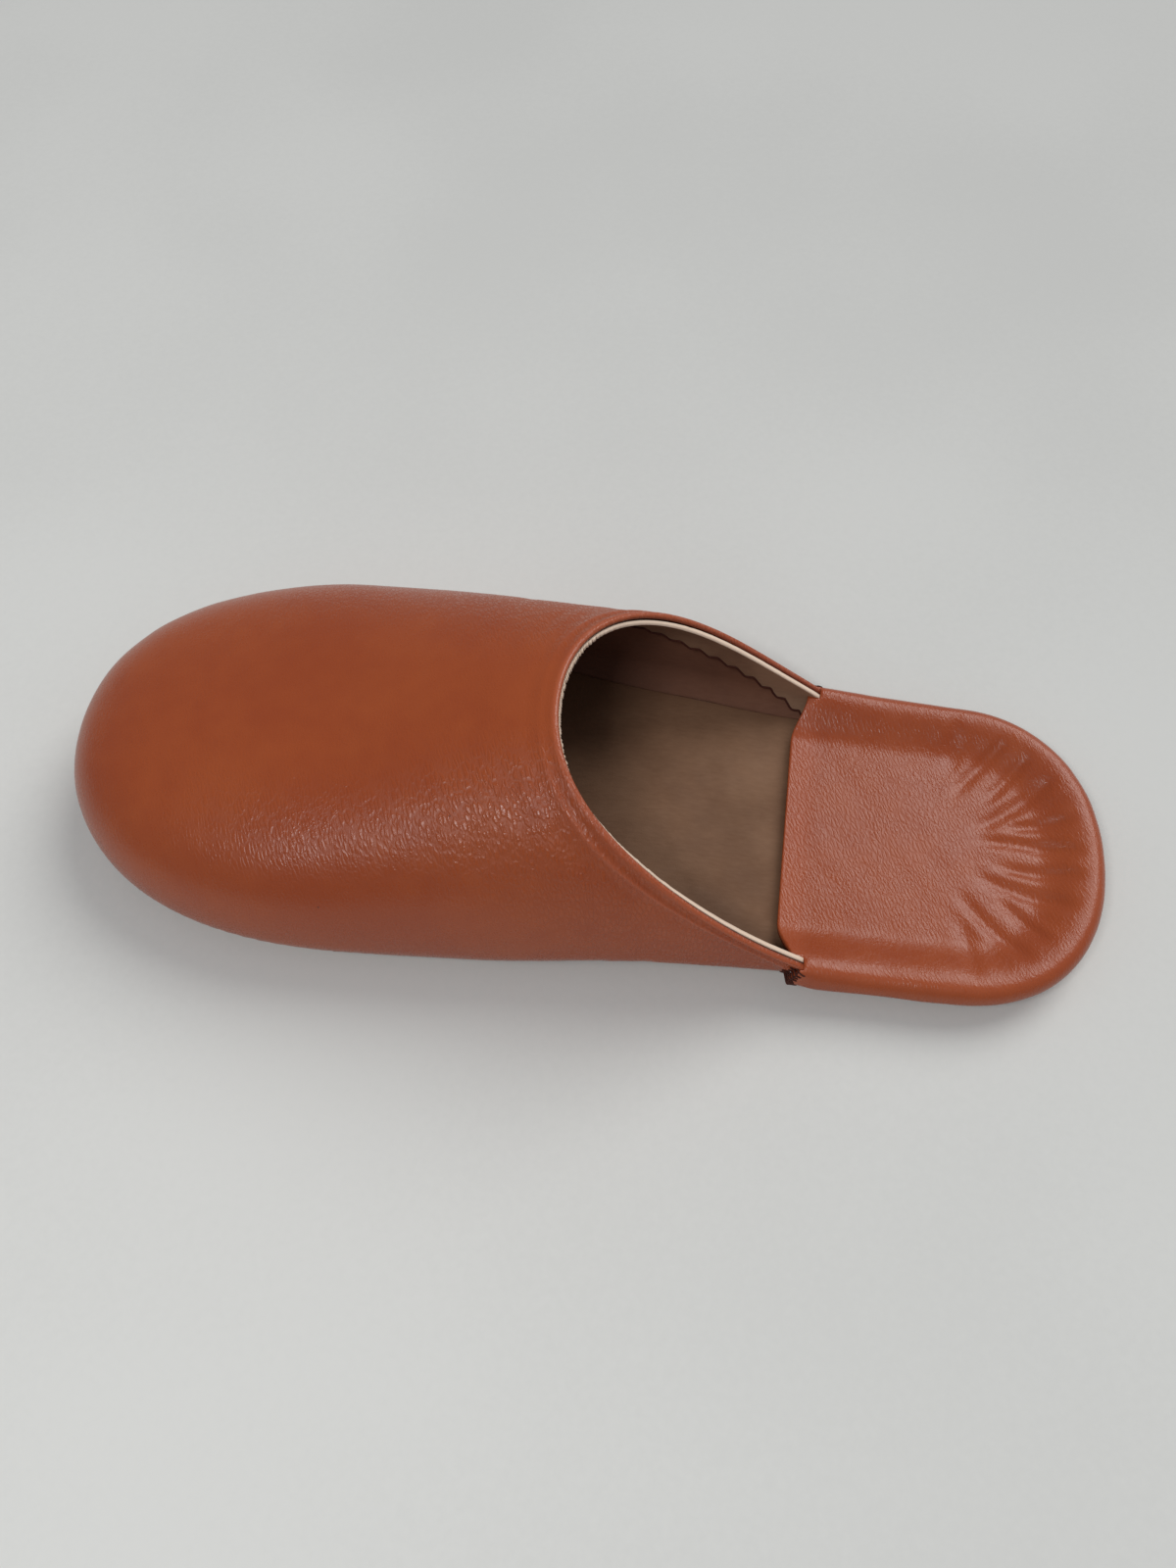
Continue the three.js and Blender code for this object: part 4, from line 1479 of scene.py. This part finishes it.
def put(name, data, where=(0, 0, 0), turn=None):
    """A new object in the scene, at where and turned by a rotation."""
    made = bpy.data.objects.new(name, data)
    bpy.context.scene.collection.objects.link(made)
    made.location = where
    if turn is not None:
        made.rotation_mode = "QUATERNION"
        made.rotation_quaternion = turn
    return made


class SLIPPER_OT_stage(bpy.types.Operator):
    """Set up the pale floor, the soft lights and the camera"""

    bl_idname = "slipper.stage"
    bl_label = "Stage"

    FLOOR_HALF = 6.0
    SENSOR_WIDTH = 36
    AIM_HEIGHT = 0.3  # share of the shoe's height
    # Directions of the lights: azimuth from the toe towards the left, and elevation.
    KEY_FROM = (math.radians(-125), math.radians(45))
    KEY_ANGLE, KEY_COLOUR = math.radians(40), (1, 0.985, 0.96)
    WINDOW_FROM = (math.radians(62), math.radians(57))
    WINDOW_SIZE = (0.34, 0.16)
    ROOM_COLOUR, ROOM_STRENGTH = (0.93, 0.95, 1.0, 1), 0.27

    def floor(self, settings):
        mesh = bpy.data.meshes.new("floor")
        bm = bmesh.new()
        bmesh.ops.create_grid(bm, x_segments=1, y_segments=1, size=self.FLOOR_HALF)
        bm.to_mesh(mesh)
        bm.free()
        floor = put("floor", mesh)
        material, tree, shader, where = start_material("Pale Floor")
        cloud = noise(tree, where, 160.0, seed=1.9)
        speck = noise(tree, where, 1.6, seed=6.6)
        tone = plus(tree, times(tree, cloud, 0.8), times(tree, speck, 0.2))
        tone = ranged(tree, tone, 0.35, 0.65)
        shade = tuple(level * 0.94 for level in settings.floor)
        colour = mixed(tree, tone, shade, settings.floor)
        tree.links.new(colour, shader.inputs["Base Color"])
        shader.inputs["Roughness"].default_value = 0.75
        shader.inputs["Specular IOR Level"].default_value = 0.25
        mesh.materials.append(material)

    def light(self, name, kind, energy, away, middle):
        """A light that shines on the middle from away, and its data."""
        data = bpy.data.lights.new(name, kind)
        data.energy = energy
        put(name, data, middle + away, (-away).to_track_quat("-Z", "Y"))
        return data

    def camera(self, settings, middle):
        """The camera, turned from its aim behind the middle to centre the shoe."""
        low, high = CAD_BOX[0].z, CAD_BOX[1].z
        base = Vector((middle.x - settings.aim_back, middle.y, low))
        away = from_angles(math.pi / 2 - settings.turn, settings.elevation, settings.distance)
        aim = Vector((middle.x, middle.y, low + (high - low) * self.AIM_HEIGHT))
        straight = aimed(-away, Vector((0, 0, 1)), settings.roll)
        centring = (-away).rotation_difference(aim - base - away)
        data = bpy.data.cameras.new("camera")
        data.sensor_width = self.SENSOR_WIDTH
        data.lens = settings.lens
        data.clip_start, data.clip_end = 0.01, 20
        bpy.context.scene.camera = put("camera", data, base + away, centring @ straight)

    def execute(self, context):
        scene = context.scene
        settings = scene.slipper_stage
        middle = (CAD_BOX[0] + CAD_BOX[1]) / 2
        self.camera(settings, middle)
        self.floor(settings)
        behind = from_angles(*self.KEY_FROM, 1)
        key = self.light("key_light", "SUN", settings.key, behind, middle)
        key.angle, key.color = self.KEY_ANGLE, self.KEY_COLOUR
        by_toe = from_angles(*self.WINDOW_FROM, 1)
        window = self.light("window_light", "AREA", settings.window, by_toe, middle)
        window.shape = "RECTANGLE"
        window.size, window.size_y = self.WINDOW_SIZE
        world = bpy.data.worlds.new("soft_room")
        world.use_nodes = True
        scene.world = world
        back = world.node_tree.nodes["Background"]
        back.inputs["Color"].default_value = self.ROOM_COLOUR
        back.inputs["Strength"].default_value = self.ROOM_STRENGTH
        scene.view_settings.view_transform = "Standard"
        return {"FINISHED"}


# --- Panel and running ------------------------------------------------------------------

OPERATORS = (
    SLIPPER_OT_upper,
    SLIPPER_OT_lining,
    SLIPPER_OT_stitch,
    SLIPPER_OT_quarter,
    SLIPPER_OT_bar_tacks,
    SLIPPER_OT_insole,
    SLIPPER_OT_outsole,
    SLIPPER_OT_stage,
)


class SLIPPER_PT_panel(bpy.types.Panel):
    """The slipper's settings and the steps that model it"""

    bl_idname = "SLIPPER_PT_panel"
    bl_label = "Babouche Slipper"
    bl_space_type = "VIEW_3D"
    bl_region_type = "UI"
    bl_category = "Slipper"

    def draw(self, context):
        for settings in (
            context.scene.slipper_sizes,
            context.scene.slipper_colours,
            context.scene.slipper_stage,
        ):
            box = self.layout.box()
            for key in type(settings).__annotations__:
                box.prop(settings, key)
        steps = self.layout.column(align=True)
        for step in OPERATORS:
            steps.operator(step.bl_idname)


CLASSES = (SlipperSizes, SlipperColours, SlipperStage, *OPERATORS, SLIPPER_PT_panel)


def register():
    for cls in CLASSES:
        bpy.utils.register_class(cls)
    bpy.types.Scene.slipper_sizes = PointerProperty(type=SlipperSizes)
    bpy.types.Scene.slipper_colours = PointerProperty(type=SlipperColours)
    bpy.types.Scene.slipper_stage = PointerProperty(type=SlipperStage)


def unregister():
    del bpy.types.Scene.slipper_stage
    del bpy.types.Scene.slipper_colours
    del bpy.types.Scene.slipper_sizes
    for cls in reversed(CLASSES):
        bpy.utils.unregister_class(cls)


def main():
    register()
    for step in OPERATORS:
        getattr(bpy.ops.slipper, step.bl_idname.split(".")[1])()


if __name__ == "__main__":
    main()
